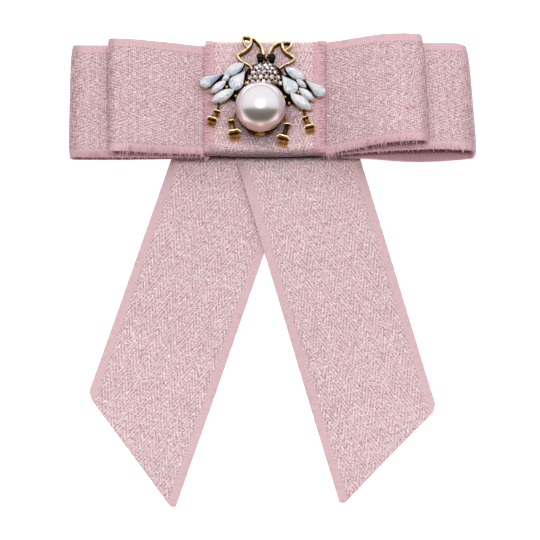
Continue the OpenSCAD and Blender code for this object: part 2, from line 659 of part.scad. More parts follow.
module thorax_crystals() {
    color("lavender")
    on_knot()
        for (p = pave_places()) on_dome(p)
            loft([for (level = CRYSTAL_CUT) [for (i = [0 : 7])
                [level[0] * cos(45 * i), level[0] * sin(45 * i), 2 * level[1]] * crystal_d / 2]]);
}

pin_clasp();
left_tail();
right_tail();
rear_loop();
front_loop();
knot_band();
insect_frame();
pearl();
eye(0);  // left_eye
eye(1);  // right_eye
thorax_crystals();
for (i = [0 : 5]) {
    on_knot() wing_stone(LEFT_STONES[i]);
    on_knot() wing_stone(RIGHT_STONES[i]);
}
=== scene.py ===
import math
import random
from functools import partial

import bmesh
import bpy
import numpy
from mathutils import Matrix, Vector, noise


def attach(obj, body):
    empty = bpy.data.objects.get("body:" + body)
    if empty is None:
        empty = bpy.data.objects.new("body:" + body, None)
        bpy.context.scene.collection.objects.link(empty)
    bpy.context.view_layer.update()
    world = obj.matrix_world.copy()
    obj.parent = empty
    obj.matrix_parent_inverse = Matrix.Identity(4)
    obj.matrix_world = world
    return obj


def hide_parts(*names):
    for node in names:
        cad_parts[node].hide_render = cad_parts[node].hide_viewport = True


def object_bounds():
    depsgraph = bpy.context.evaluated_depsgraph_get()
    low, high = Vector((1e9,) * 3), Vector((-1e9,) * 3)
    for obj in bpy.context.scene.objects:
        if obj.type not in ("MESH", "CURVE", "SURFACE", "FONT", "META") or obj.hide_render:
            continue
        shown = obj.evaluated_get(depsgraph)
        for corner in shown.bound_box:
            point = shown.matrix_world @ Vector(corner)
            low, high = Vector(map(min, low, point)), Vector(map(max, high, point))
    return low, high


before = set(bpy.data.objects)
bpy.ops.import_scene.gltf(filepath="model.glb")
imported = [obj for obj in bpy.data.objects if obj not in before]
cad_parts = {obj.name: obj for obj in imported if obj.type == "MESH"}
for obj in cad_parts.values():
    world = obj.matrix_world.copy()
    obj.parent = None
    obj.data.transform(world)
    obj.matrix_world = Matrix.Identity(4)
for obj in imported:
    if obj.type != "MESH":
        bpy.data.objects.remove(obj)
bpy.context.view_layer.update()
mm = 0.001
random.seed(11)
print("packed bow loaded")


def colour(hexText):
    parts = [int(hexText[i:i + 2], 16) / 255 for i in (1, 3, 5)]
    return [p / 12.92 if p <= 0.04045 else ((p + 0.055) / 1.055) ** 2.4 for p in parts] + [1.0]


# gives the function that adds one node: values, colours and other nodes go to its open sockets, or by name
def nodeAdder(tree):
    tree.nodes.clear()

    def add(kind, *values, named=None, stops=(), **settings):
        node = tree.nodes.new("ShaderNode" + kind)
        for key, value in settings.items():
            setattr(node, key, value)
        if stops:
            elements = node.color_ramp.elements
            while len(elements) < len(stops):
                elements.new(0.5)
            for element, (place, shade) in zip(elements, stops):
                element.position = place
                element.color = colour(shade)
        pairs = list(zip([socket for socket in node.inputs if socket.enabled], values))
        pairs += [(node.inputs[key], value) for key, value in (named or {}).items()]
        for socket, value in pairs:
            if isinstance(value, bpy.types.Node):
                value = next(output for output in value.outputs if output.enabled)
            if isinstance(value, bpy.types.NodeSocket):
                tree.links.new(value, socket)
            else:
                socket.default_value = colour(value) if isinstance(value, str) else value
        return node

    return add


def newMaterial(name):
    material = bpy.data.materials.new(name)
    material.use_nodes = True
    return material, nodeAdder(material.node_tree)


def deselectAll():
    if bpy.context.object and bpy.context.object.mode != "OBJECT":
        bpy.ops.object.mode_set(mode="OBJECT")
    bpy.ops.object.select_all(action="DESELECT")


def choose(piece):
    deselectAll()
    piece.select_set(True)
    bpy.context.view_layer.objects.active = piece


def applyAll(piece):
    choose(piece)
    for modifier in list(piece.modifiers):
        bpy.ops.object.modifier_apply(modifier=modifier.name)


def setPlace(piece):
    choose(piece)
    bpy.ops.object.transform_apply(location=True, rotation=True, scale=True)


# one edit mode operator on the whole mesh
def editAll(piece, operator, **settings):
    choose(piece)
    bpy.ops.object.mode_set(mode="EDIT")
    bpy.ops.mesh.select_all(action="SELECT")
    operator(**settings)
    bpy.ops.object.mode_set(mode="OBJECT")


def roundEdges(piece, width, segments, angle=30):
    edge = piece.modifiers.new("edge", "BEVEL")
    edge.width = width * mm
    edge.segments = segments
    edge.limit_method = "ANGLE"
    edge.angle_limit = math.radians(angle)


# ball with its place and radius in mm
def addBall(name, place, radius, segments, rings, scale=(1, 1, 1)):
    deselectAll()
    bpy.ops.mesh.primitive_uv_sphere_add(segments=segments, ring_count=rings, radius=radius * mm,
                                         location=[c * mm for c in place])
    ball = bpy.context.object
    ball.name = ball.data.name = name
    ball.scale = scale
    setPlace(ball)
    return ball


def ringRound(centre, across, up, radius, corners):
    turns = [2 * math.pi * k / corners for k in range(corners)]
    return [centre + (across * math.cos(g) + up * math.sin(g)) * radius for g in turns]


# camera: straight over the bow, leaning 15 degrees towards its lower edge
cameraSet = {"elevation": 75, "distance": 1.1, "lens": 232.36, "sensor": 36,
             "aim": (0.001657, -0.05949, 0.0028)}
lean = math.radians(cameraSet["elevation"])
cameraData = bpy.data.cameras.new("photoCamera")
cameraData.lens = cameraSet["lens"]
cameraData.sensor_width = cameraSet["sensor"]
cameraData.clip_start = 0.01
camera = bpy.data.objects.new("photoCamera", cameraData)
bpy.context.scene.collection.objects.link(camera)
towards = Vector((0, math.cos(lean), -math.sin(lean)))
camera.location = Vector(cameraSet["aim"]) - towards * cameraSet["distance"]
camera.rotation_euler = (math.pi / 2 - lean, 0, 0)
bpy.context.scene.camera = camera
bpy.context.scene.view_settings.view_transform = "Standard"
print("camera set")

# lengths in mm as in the construction, but the cloth is shown thinner and widens sooner beside the knot
ribbonCut = {"width": 38.0, "wall": 1.0, "gap": 0.15, "showWall": 0.72, "rim": 0.16, "spread": 0.6}
bow = {"drop": 4.0, "loopGap": 0.6, "knotHeight": 37.3, "knotFold": 2.2, "knotFlare": 0.035, "foldRoom": 0.6,
       "selvageStart": 0.76, "foldBulge": 1.6, "foldCorner": 0.35, "barThickness": 0.8, "floor": -5.2}
# tables, left and right side: share of the side, face lift, back lift, shift, roll, lean
loops = {
    "rear": {"left": 62.0, "right": 66.0, "depth": 10.0, "columns": 300, "rows": 56, "tables": (
        ((0, 0, 0, -0.030, 0, 0), (0.35, 0, -0.08, -0.028, 0, 0), (0.70, 0.01, -0.17, -0.026, 0, 0),
         (1, 0.03, -0.15, -0.026, 0, 0.004)),
        ((0, 0, 0, -0.022, 0, 0), (0.25, 0.26, -0.10, -0.022, 5, 0), (0.60, 0.45, -0.50, -0.020, 8, -0.012),
         (0.85, 0.42, -0.44, -0.012, 8, -0.024), (1, 0.26, -0.28, -0.008, 7, -0.030)))},
    "front": {"left": 49.8, "right": 51.0, "depth": 8.0, "columns": 240, "rows": 48, "tables": (
        ((0, 0, 0, -0.055, 0, 0), (0.40, 0.22, 0, -0.034, 0, 0), (0.80, 0.28, 0, -0.008, 0, -0.006),
         (1, 0.22, 0, 0, 0, -0.010)),
        ((0, 0, 0, -0.022, 0, 0), (0.25, 0.20, 0, -0.010, 5, 0), (0.60, 0.46, 0, 0.012, 8, -0.006),
         (0.85, 0.40, 0, 0.022, 8, -0.014), (1, 0.24, 0, 0.026, 8, -0.020)))},
}
knotHalf = ribbonCut["width"] / 2
halfWall = ribbonCut["wall"] / 2
layerPitch = ribbonCut["wall"] + ribbonCut["gap"]
leftTailHeight = bow["barThickness"] + ribbonCut["gap"] + halfWall
# layers on the left tail, counted up from it
bandBack, rearBackHeight, rearFaceHeight, bandFront = [leftTailHeight + k * layerPitch for k in (2, 3, 4, 7)]
bandMiddle = (bandBack + bandFront) / 2
foldRoom = bow["foldRoom"] * (bow["knotFold"] - ribbonCut["wall"])
knotFit = bow["knotHeight"] / 2 - ribbonCut["wall"] - foldRoom - ribbonCut["gap"] / 2
loopStart = knotHalf + bow["loopGap"]


def smooth(t):
    c = min(1.0, max(0.0, t))
    return c * c * (3 - 2 * c)


def lerp(a, b, t):
    return a + (b - a) * t


# smooth value of column k of a table at x
def tableValue(rows, x, k):
    i = 0
    while i < len(rows) - 2 and x > rows[i + 1][0]:
        i += 1
    slopes = []
    for j in (i, i + 1):
        low, high = rows[max(0, j - 1)], rows[min(len(rows) - 1, j + 1)]
        slopes.append((high[k] - low[k]) / (high[0] - low[0]))
    h = rows[i + 1][0] - rows[i][0]
    t = (x - rows[i][0]) / h
    t2, t3 = t * t, t * t * t
    return ((2 * t3 - 3 * t2 + 1) * rows[i][k] + (t3 - 2 * t2 + t) * h * slopes[0]
            + (3 * t2 - 2 * t3) * rows[i + 1][k] + (t3 - t2) * h * slopes[1])


def reachAt(loop, x):
    return loops[loop]["right" if x >= 0 else "left"]


def sideShare(loop, x):
    return max(0.0, (abs(x) - loopStart) / (reachAt(loop, x) - bow["foldBulge"] - loopStart))


def loopValue(loop, x, k):
    return tableValue(loops[loop]["tables"][x >= 0], sideShare(loop, x), k)


def spreadAt(x):
    return smooth((abs(x) - knotHalf - ribbonCut["gap"]) / ribbonCut["spread"])


def freeShare(x):
    return smooth((abs(x) - knotHalf - 1) / 10)


# share of the way from the selvage's start to the ribbon's edge
def selvageShare(q):
    return max(0.0, (abs(q) - bow["selvageStart"]) / (1 - bow["selvageStart"]))


def rearFace(x):
    return rearFaceHeight + loops["rear"]["depth"] * loopValue("rear", x, 1)


# rise that one layer needs on the sloping face of the rear loop
def layerRise(x, step=0.2):
    slope = (rearFace(x + step) - rearFace(x - step)) / (2 * step)
    return layerPitch * math.sqrt(1 + slope * slope + math.tan(math.radians(loopValue("rear", x, 4))) ** 2)


def loopWall(loop, x, q, face):
    roll = math.radians(loopValue("rear", x, 4)) if face or loop == "front" else 0.0
    if loop == "rear":
        z = rearFace(x) if face else rearBackHeight + loops["rear"]["depth"] * loopValue("rear", x, 2)
    else:
        z = rearFace(x) + layerRise(x)
        if face:
            z += layerRise(x) + loops["front"]["depth"] * loopValue("front", x, 1)
    halfWidth = lerp(knotFit, ribbonCut["width"] / 2, spreadAt(x))
    y = spreadAt(x) * ribbonCut["width"] * loopValue(loop, x, 3) + q * halfWidth * math.cos(roll)
    return Vector((x + q * ribbonCut["width"] * loopValue(loop, x, 5), y, z - y * math.tan(roll)))


# loop as one ring: u 0-1 face, 1-2 right fold, 2-3 back, 3-4 left fold
def loopPoint(loop, u, q):
    u %= 4
    s = int(u)
    t = u - s
    x0, x1 = bow["foldBulge"] - loops[loop]["left"], loops[loop]["right"] - bow["foldBulge"]
    if s == 0:
        return loopWall(loop, lerp(x0, x1, t), q, True)
    if s == 2:
        return loopWall(loop, lerp(x1, x0, t), q, False)
    end, side = (x1, 1) if s == 1 else (x0, -1)
    a, b = loopWall(loop, end, q, side > 0), loopWall(loop, end, q, side < 0)
    bulge = side * math.sin(math.pi * t) * bow["foldBulge"] * (1 - bow["foldCorner"] * q ** 6)
    return (a + b) / 2 + (a - b) / 2 * math.cos(math.pi * t) + Vector((bulge, 0, 0))


# knot band as one ring: folds and flats take turns, two units for each quarter
def bandPoint(u, q):
    u %= 8
    s = int(u)
    t = u - s
    j = s // 2
    r = bow["knotFold"] - halfWall
    hy = bow["knotHeight"] / 2 - bow["knotFold"]
    hz = (bandFront - bandBack) / 2 - r
    signs = ((1, 1), (-1, 1), (-1, -1), (1, -1))

    def corner(k, turn):
        a = math.radians(turn)
        return Vector((signs[k % 4][0] * hy + r * math.cos(a), signs[k % 4][1] * hz + r * math.sin(a)))

    if s % 2 == 0:
        p = corner(j, 90 * j + 90 * t)
    else:
        p = corner(j, 90 * j + 90).lerp(corner(j + 1, 90 * j + 90), t)
    return Vector((q * knotHalf, p.x * (1 + bow["knotFlare"] * selvageShare(q)), bandMiddle + p.y))


# fall: share of the length, share of the height left
tails = {
    "left": {"side": -1, "head": 0.5, "angle": 18.8, "long": 142.0, "short": 115.5, "height": leftTailHeight,
             "crown": 0.7,
             "fall": ((0, 1), (0.14, 1), (0.21, 0.97), (0.5, 0.48), (0.76, 0.06), (0.86, 0), (1, 0))},
    "right": {"side": 1, "head": 2.4, "angle": 16.5, "long": 139.5, "short": 118.0,
              "height": leftTailHeight + layerPitch, "crown": 2.2,
              "fall": ((0, 1), (0.14, 1), (0.21, 0.995), (0.5, 0.68), (0.8, 0.08), (0.89, 0), (1, 0))},
}
tailCut = {"above": 9.0, "tipRound": 0.045, "tipStart": 0.88, "archStart": 0.45, "columns": 240, "rows": 44}


def tailLength(tail, q):
    corner = max(0.0, (abs(q) - tailCut["tipStart"]) / (1 - tailCut["tipStart"]))
    length = lerp(tail["short"], tail["long"], (1 - tail["side"] * q) / 2)
    return length - tailCut["tipRound"] * ribbonCut["width"] * corner ** 2


def tailPoint(tail, s, q):
    reach = (tail["long"] + tail["short"]) / 2
    low = bow["floor"] + halfWall
    fall = max(0.0, min(1.0, tableValue(tail["fall"], min(1.0, s / reach), 1)))
    arch = tail["crown"] * smooth(2 * (s / reach - tailCut["archStart"])) * (1 - q * q)
    out = q * ribbonCut["width"] / 2
    turn = math.radians(tail["angle"])
    return Vector((tail["side"] * (tail["head"] + s * math.sin(turn)) + out * math.cos(turn),
                   tailCut["above"] - s * math.cos(turn) + tail["side"] * out * math.sin(turn),
                   low + (tail["height"] - low) * fall + arch))


# places at even steps of length along a middle line, and its length
def evenPlaces(line, end, count, steps=1600):
    total = [0.0]
    last = line(0)
    for i in range(1, steps + 1):
        here = line(end * i / steps)
        total.append(total[-1] + (here - last).length)
        last = here
    places = []
    k = 0
    for i in range(count + 1):
        want = total[-1] * i / count
        while k < steps - 1 and total[k + 1] < want:
            k += 1
        share = (want - total[k]) / max(1e-9, total[k + 1] - total[k])
        places.append(end * (k + min(1.0, share)) / steps)
    return places, total[-1]


def placeAt(places, share):
    spot = share * (len(places) - 1)
    i = min(len(places) - 2, max(0, int(spot)))
    return lerp(places[i], places[i + 1], spot - i)


# slow unevenness of hand-tied cloth, shared by layers that lie on each other; lengths in mm
rippleSet = {"loops": 0.22, "loopSize": 17.0, "face": 0.35, "faceSize": 14.0, "tails": 0.28, "tailSize": 20.0,
             "tailFree": (35, 20), "edge": 0.10, "droop": 0.7, "droopMost": 1.3, "droopStart": 0.72}
# how far the lower edge of each layer turns in: near the knot and at the fold, left and right
tuckSet = {"rear": ((0.7, 0.65), (0.75, 0.65)), "front": ((2.0, 0.5), (0.8, 0.6)), "start": 0.45,
           "corner": (2.0, 6.0)}
# the knot's lower fold hangs in the middle and lifts at the ends; its face dips at the selvages
hangSet = {"middle": 0.45, "ends": 0.55, "over": 12, "dip": 0.36}


def ripple(p, size, seed):
    return noise.noise(Vector((p.x / size, p.y / size, seed)))


def loopMid(loop, u, q):
    p = loopPoint(loop, u, q)
    low = max(0.0, -q - tuckSet["start"]) / (1 - tuckSet["start"])
    near, far = tuckSet[loop][p.x >= 0]
    p.y += spreadAt(p.x) * lerp(near, far, min(1.0, sideShare(loop, p.x))) * low
    if loop == "rear":
        drop, reach = tuckSet["corner"]
        p.y -= drop * max(0.0, 1 - (loops["rear"]["right"] - p.x) / reach) ** 2 * max(0.0, q) ** 4
    p.z += freeShare(p.x) * rippleSet["loops"] * ripple(p, rippleSet["loopSize"], 1.0)
    if loop == "front" and u % 4 <= 1:
        ends = smooth(8 * (u % 4)) * smooth(8 * (1 - u % 4))
        edge = max(0.0, -q - rippleSet["droopStart"]) / (1 - rippleSet["droopStart"])
        droop = rippleSet["droop"] * loops["front"]["depth"] * loopValue("front", p.x, 1)
        uneven = rippleSet["face"] * ripple(p, rippleSet["faceSize"], 5.0)
        p.z += freeShare(p.x) * ends * (uneven - min(rippleSet["droopMost"], droop) * edge * edge)
    return p


def bandMid(u, q):
    p = bandPoint(u, q)
    if p.y < 0:
        p.y -= smooth(-p.y / hangSet["over"]) * (hangSet["middle"] * (1 - q * q) - hangSet["ends"] * q ** 6)
    if p.z > bandMiddle:
        p.z -= hangSet["dip"] * selvageShare(q) ** 2
    return p


def tailMid(tail, s, q):
    p = tailPoint(tail, s, q)
    start, rise = rippleSet["tailFree"]
    uneven = max(0.0, 0.5 + ripple(p, rippleSet["tailSize"], 7.0 + tail["side"]))
    p.z += smooth((s - start) / rise) * rippleSet["tails"] * uneven
    return p


places, lengths = {}, {}
for loop in loops:
    places[loop], lengths[loop] = evenPlaces(lambda u: loopPoint(loop, u, 0), 4, loops[loop]["columns"])
places["band"], lengths["band"] = evenPlaces(lambda u: bandPoint(u, 0), 8, 110)

# painted shade below an edge: full from the edge down, then fading, in mm, for light that falls at an angle;
# painted shade on a face: at its fold and near the knot, each with its share and reach
shadeSet = {
    "fall": 75, "above": 1.5, "underside": -0.4, "most": 0.8,
    "front": (0.5, 2.0), "rear": (0.3, 1.5), "knot": (0.5, 2.7), "tails": (0.0, 1.8), "band": (0.1, 2.3),
    "faces": {"rear": (0.42, 6.0, 0.1, 24.0), "front": (0.42, 3.6, 0.14, 24.0)},
    # painted shade along the rear loop's lower selvage, left and right, and on the tails' selvages just below
    # the knot
    "wearAndPaintedLight": (0.34, 0.14), "selvage": 0.84, "tailEdge": (0.3, 16),
    # painted shadow of the insect on the knot band, around the pearl's lower half
    "insect": {"x": -1.35, "y": -6.07, "radius": 8.2, "fade": 6.0, "share": 0.5, "above": 3, "depth": 5},
}


# places that the falling light meets at one height share a value
def fallHeight(p):
    fall = math.radians(shadeSet["fall"])
    return p.y * math.sin(fall) + p.z * math.cos(fall)


# lower edge of a layer, which throws its shade below
def edgeLine(loop, start, steps=120):
    spots = sorted((loopMid(loop, start + i / steps, -1) for i in range(steps + 1)), key=lambda p: p.x)
    return [p.x for p in spots], [fallHeight(p) for p in spots]


edgeLines = {"front": edgeLine("front", 0), "rear": edgeLine("rear", 0), "rearBack": edgeLine("rear", 2)}
bandFoot = min(fallHeight(bandMid(3.5 + 0.05 * k, 0)) for k in range(-20, 50))


def belowEdge(line, p):
    return numpy.interp(p.x, *edgeLines[line]) - fallHeight(p)


def shadeUnder(below, kind):
    full, end = shadeSet[kind]
    if below < 0:
        return smooth(1 + below / shadeSet["above"])
    return smooth(1 - (below - full) / (end - full))


# painted shade on a loop: below edges, at its fold, near the knot, along the rear's lower selvage
def loopPaintedShade(loop, p, share, q):
    u = placeAt(places[loop], share) % 4
    if 2 <= u <= 3:
        return shadeUnder(belowEdge(loop, p), loop)
    fold, foldReach, near, nearReach = shadeSet["faces"][loop]
    foldShade = fold * smooth(1 - (reachAt(loop, p.x) - abs(p.x)) / foldReach)
    faceShade = max(foldShade, near * smooth(1 - (abs(p.x) - knotHalf) / nearReach))
    if loop == "front" or u > 1:
        return faceShade
    xs = edgeLines["front"][0]
    inside = smooth((p.x - xs[0]) / 4) * smooth((xs[-1] - p.x) / 4)
    wearAndPaintedLight = shadeSet["wearAndPaintedLight"][p.x >= 0] * smooth((-q - shadeSet["selvage"]) / 0.08)
    return max(wearAndPaintedLight, inside * shadeUnder(belowEdge("front", p), "front"), faceShade)


# painted shade on a tail: below the knot and the rear loop, and on its selvages near the knot
def tailPaintedShade(p, share, q):
    below = bandFoot - fallHeight(p)
    edgeShare, edgeReach = shadeSet["tailEdge"]
    near = edgeShare * smooth(1 - below / edgeReach) * smooth((abs(q) - shadeSet["selvage"]) / 0.06)
    if abs(p.x) < knotHalf + 0.5:
        return max(near, shadeSet["most"] * shadeUnder(below, "knot"))
    return max(near, shadeSet["most"] * shadeUnder(belowEdge("rearBack", p), "tails"))


# painted shade on the knot band: at its foot, and the insect's painted shadow around the pearl
def bandPaintedShade(p, share, q):
    if p.z < bandMiddle and p.y > 0:
        return 0.0
    s = shadeSet["insect"]
    full, end = shadeSet["band"]
    foot = smooth(1 - (fallHeight(p) - bandFoot - full) / (end - full))
    away = math.hypot(p.x - s["x"], p.y - s["y"])
    around = smooth(1 - (away - s["radius"]) / s["fade"])
    under = s["share"] * around * smooth((s["y"] - p.y + s["above"]) / s["depth"])
    return max(shadeSet["most"] * foot, under)


# place in the bow's own mm, brought to the scene
def inScene(p):
    return Vector((p.x, p.y - bow["drop"], p.z)) * mm


def makeRibbon(name, point, columns, rows, closed, alongOf, paintedShadeOf, twill=1):
    deselectAll()
    bpy.ops.mesh.primitive_grid_add(x_subdivisions=columns, y_subdivisions=rows, size=1)
    piece = bpy.context.object
    piece.name = piece.data.name = name
    mesh = piece.data
    shares = [(v.co.x + 0.5, 2 * v.co.y) for v in mesh.vertices]
    while mesh.uv_layers:
        mesh.uv_layers.remove(mesh.uv_layers[0])
    weave = mesh.uv_layers.new(name="weave")
    for corner in mesh.loops:
        share, q = shares[corner.vertex_index]
        weave.data[corner.index].uv = (alongOf(share, q) * mm, twill * q * ribbonCut["width"] / 2 * mm)
    # painted shade for each point, kept off the faces that turn downward
    paintedShades = []
    for vertex, (share, q) in zip(mesh.vertices, shares):
        edge = 1 + rippleSet["edge"] * noise.noise(Vector((share * 60, q, 3.0))) * abs(q) ** 3 / 19
        place = point(share, q * edge)
        paintedShades.append(paintedShadeOf(place, share, q))
        vertex.co = inScene(place)
    paintedShade = mesh.attributes.new("paintedShade", "FLOAT", "POINT")
    paintedShade.data.foreach_set("value", paintedShades)
    if closed:
        editAll(piece, bpy.ops.mesh.remove_doubles, threshold=0.00001)
    wall = piece.modifiers.new("wall", "SOLIDIFY")
    wall.thickness = ribbonCut["showWall"] * mm
    wall.offset = 0
    wall.use_even_offset = True
    roundEdges(piece, ribbonCut["rim"], 2, 50)
    applyAll(piece)
    for vertex, value in zip(mesh.vertices, mesh.attributes["paintedShade"].data):
        if vertex.normal.z < shadeSet["underside"]:
            value.value = 0.0
    bpy.ops.object.shade_smooth_by_angle(angle=math.radians(60))
    return piece


ribbons = {}
for loop, cut in loops.items():
    ribbons[loop] = makeRibbon(
        loop + "RibbonLoop", lambda share, q: loopMid(loop, placeAt(places[loop], share), q), cut["columns"],
        cut["rows"], True, lambda share, q: share * lengths[loop], partial(loopPaintedShade, loop))
ribbons["band"] = makeRibbon(
    "knotRibbonBand", lambda share, q: bandMid(placeAt(places["band"], share), q), 160, 48, True,
    lambda share, q: share * lengths["band"], bandPaintedShade)
for side, tail in tails.items():
    ribbons[side] = makeRibbon(
        side + "RibbonTail", lambda share, q: tailMid(tail, share * tailLength(tail, q), q),
        tailCut["columns"], tailCut["rows"], False, lambda share, q: share * tailLength(tail, q), tailPaintedShade,
        -tail["side"])
print("ribbon loops, tails and knot band laid:", {k: round(v, 1) for k, v in lengths.items()})

# rose herringbone ribbon: matt polyester with a flat metallic yarn, so a soft pink ground under fine glints,
# some of them painted as near-white grains;
# lengths in mm; shares give a pattern's range and what it turns to
weaveSet = {
    "bandWidth": 2.45, "lean": 0.384, "linePitch": 1.0, "pickPitch": 0.62, "uneven": 0.3,
    "dot": (0.12, 0.46), "dotDepth": (0.35, 0.9), "threadPlace": 0.7, "threadShape": (-0.2, 1.0),
    "cloud": 2.4, "threadShare": (0.3, 0.7, 0.55, 0.3), "silverShare": (0.5, 0.68, 0.0, 0.5),
    "grain": 0.30, "glintShare": (0.8, 0.98, 0.0, 0.95), "darkShare": (0.78, 1.0, 0.0, 0.7),
    "metalShare": (0.5, 0.8, 0.0, 0.45), "rough": (0.75, 0.42), "tilt": 0.5, "relief": 0.12,
    "selvageFrom": 16.2, "selvageEdge": (0.15, 0.7), "wander": (0.625, 0.8), "aside": 0.0,
    "ribPitch": 0.55, "ribLength": 2.857, "ribShare": (0.25, 0.55),
    "stitchPitch": 1.16, "stitchHole": (0.12, 0.32), "holes": 0.6, "shadeRag": 1.6, "shadeMost": 0.92,
    "ground": "#E6BEC5", "light": "#F8E0E4", "gap": "#93656F", "silver": "#E2D3D4", "glint": "#FFFAFA",
    "selvage": "#EAC5CB", "selvageDark": "#DAAFB7", "stitch": "#A87F89", "shade": "#7E4756",
}


def ribbonMaterial(name, changes):
    material, add = newMaterial(name)
    w = {**weaveSet, **changes}
    flat = add("VectorMath", add("UVMap", uv_map="weave"), 1 / mm, operation="SCALE")
    along, across, _ = add("SeparateXYZ", flat).outputs
    zigzag = add("Math", across, w["bandWidth"], operation="PINGPONG")
    leaning = add("Math", along, -w["lean"], zigzag, operation="MULTIPLY_ADD")
    linePlace = add("Math", leaning, w["linePitch"], operation="DIVIDE")
    pickPlace = add("Math", along, w["pickPitch"], operation="DIVIDE")
    crossings = add("TexVoronoi", add("CombineXYZ", linePlace, pickPlace), 1.0,
                    named={"Randomness": w["uneven"]}, voronoi_dimensions="2D")
    grains = add("TexVoronoi", flat, 1 / w["grain"], voronoi_dimensions="2D")
    grainRandom = add("SeparateColor", grains.outputs["Color"]).outputs
    cloud = add("TexNoise", flat, 1 / w["cloud"], 3.0, noise_dimensions="2D")
    # dark pinhole where threads cross, a light thread between two rows of them
    dot = add("MapRange", crossings, *w["dot"], 1.0, 0.0, interpolation_type="SMOOTHSTEP")
    dotDepth = add("MapRange", add("SeparateColor", crossings.outputs["Color"]), 0.0, 1.0, *w["dotDepth"])
    dotShare = add("Math", dot, dotDepth, operation="MULTIPLY")
    turn = 2 * math.pi
    wave = add("Math", linePlace, turn, -w["threadPlace"] * turn, operation="MULTIPLY_ADD")
    thread = add("MapRange", add("Math", wave, operation="COSINE"), *w["threadShape"])
    threadShare = add("Math", thread, add("MapRange", cloud, *w["threadShare"]), operation="MULTIPLY")
    silverShare = add("MapRange", cloud, *w["silverShare"])
    # near-white grains: painted glints, besides the real gleam of the tilted metal grains
    glintShare = add("MapRange", grainRandom[0], *w["glintShare"])
    darkShare = add("MapRange", grainRandom[1], *w["darkShare"])
    # selvage: plain cross threads, edged with needle holes
    wanderSize, wanderMost = w["wander"]
    wander = add("TexNoise", flat, 1 / wanderSize, 2.0, noise_dimensions="2D")
    fromMiddle = add("Math", add("Math", across, w["aside"], operation="ADD"), operation="ABSOLUTE")
    ragged = add("Math", wander, wanderMost, fromMiddle, operation="MULTIPLY_ADD")
    selvage = add("MapRange", ragged, *[w["selvageFrom"] + edge for edge in w["selvageEdge"]],
                  interpolation_type="SMOOTHSTEP")
    ribs = add("Mapping", flat, named={"Scale": (1 / w["ribPitch"], 1 / w["ribLength"], 1)})
    streaks = add("TexNoise", ribs, 1.0, 3.0, 0.6, noise_dimensions="2D")
    ribShare = add("MapRange", streaks, *w["ribShare"])
    selvageColour = add("Mix", ribShare, w["selvageDark"], w["selvage"], data_type="RGBA")
    holeShare = add("Math", add("Math", along, w["stitchPitch"], operation="DIVIDE"), operation="FRACT")
    holeAlong = add("Math", holeShare, w["stitchPitch"], -w["stitchPitch"] / 2, operation="MULTIPLY_ADD")
    holeAcross = add("Math", fromMiddle, w["selvageFrom"], operation="SUBTRACT")
    holeFar = add("VectorMath", add("CombineXYZ", holeAlong, holeAcross), operation="LENGTH")
    hole = add("MapRange", holeFar, *w["stitchHole"], w["holes"], 0.0, interpolation_type="SMOOTHSTEP")
    # painted shade between the layers, at folds and near the knot: wine-dark, with a ragged border
    paintedShade = add("Attribute", attribute_name="paintedShade").outputs["Fac"]
    rag = add("Math", streaks, w["shadeRag"], -w["shadeRag"] / 2, operation="MULTIPLY_ADD")
    paintedShadeEdge = add("Math", paintedShade, 1.5, rag, operation="MULTIPLY_ADD")
    paintedShadeCut = add("MapRange", paintedShadeEdge, 0.1, 1.5, 0.0, w["shadeMost"])
    paintedShadeShare = add("Math", paintedShadeCut, add("MapRange", paintedShade, 0.0, 0.25), operation="MULTIPLY", use_clamp=True)
    cloth = w["ground"]
    for share, shade in ((threadShare, w["light"]), (silverShare, w["silver"]), (dotShare, w["gap"]),
                         (glintShare, w["glint"]), (darkShare, w["gap"]), (selvage, selvageColour),
                         (hole, w["stitch"]), (paintedShadeShare, w["shade"])):
        cloth = add("Mix", share, cloth, shade, data_type="RGBA")
    # metallic yarn shows in single grains, each tilted its own way
    inBody = add("Math", 1.0, selvage, operation="SUBTRACT")
    metal = add("Math", add("MapRange", grainRandom[2], *w["metalShare"]), inBody, operation="MULTIPLY")
    rough = add("MapRange", metal, 0.0, w["metalShare"][3], *w["rough"])
    tilt = add("VectorMath", grains.outputs["Color"], (0.5, 0.5, 0.5), operation="SUBTRACT")
    tiltMost = add("Math", inBody, w["tilt"], operation="MULTIPLY")
    tilted = add("VectorMath", tilt, tiltMost, operation="SCALE")
    turned = add("VectorMath", add("NewGeometry").outputs["Normal"], tilted, operation="ADD")
    threadHeight = add("Math", thread, dot, operation="SUBTRACT")
    bump = add("Bump", named={
        "Strength": 0.4, "Distance": w["relief"] * mm,
        "Normal": add("VectorMath", turned, operation="NORMALIZE"),
        "Height": add("Mix", selvage, threadHeight, streaks, data_type="FLOAT")})
    add("OutputMaterial", add("BsdfPrincipled", named={
        "Base Color": cloth, "Metallic": metal, "Roughness": rough, "Normal": bump, "Sheen Weight": 0.15,
        "Sheen Roughness": 0.5}))
    return material


# the same cloth: its loops; its knot, painted lighter, with a broader, darker selvage;
# its flatter tails, painted lighter as flat cloth catches more light
clothChanges = {
    "wovenMetallicRibbon": (("rear", "front"), {}),
    "wovenMetallicKnot": (("band",), {
        "selvageFrom": 15.75, "aside": 0.3, "ground": "#F6CDD3", "light": "#FFEFF1", "shade": "#5A303F",
        "selvage": "#E5BCC3", "selvageDark": "#CF9AA3"}),
    "wovenMetallicTail": (("left", "right"), {
        "ground": "#EFC9CF", "light": "#FFF1F2", "gap": "#9C7680", "silver": "#EDE1E1", "holes": 0.3,
        "shade": "#4E3540", "selvage": "#EAC9CE", "selvageDark": "#DCB8BF"}),
}
for name, (labels, changes) in clothChanges.items():
    cloth = ribbonMaterial(name, changes)
    for label in labels:
        ribbons[label].data.materials.clear()
        ribbons[label].data.materials.append(cloth)
print("ribbon woven")

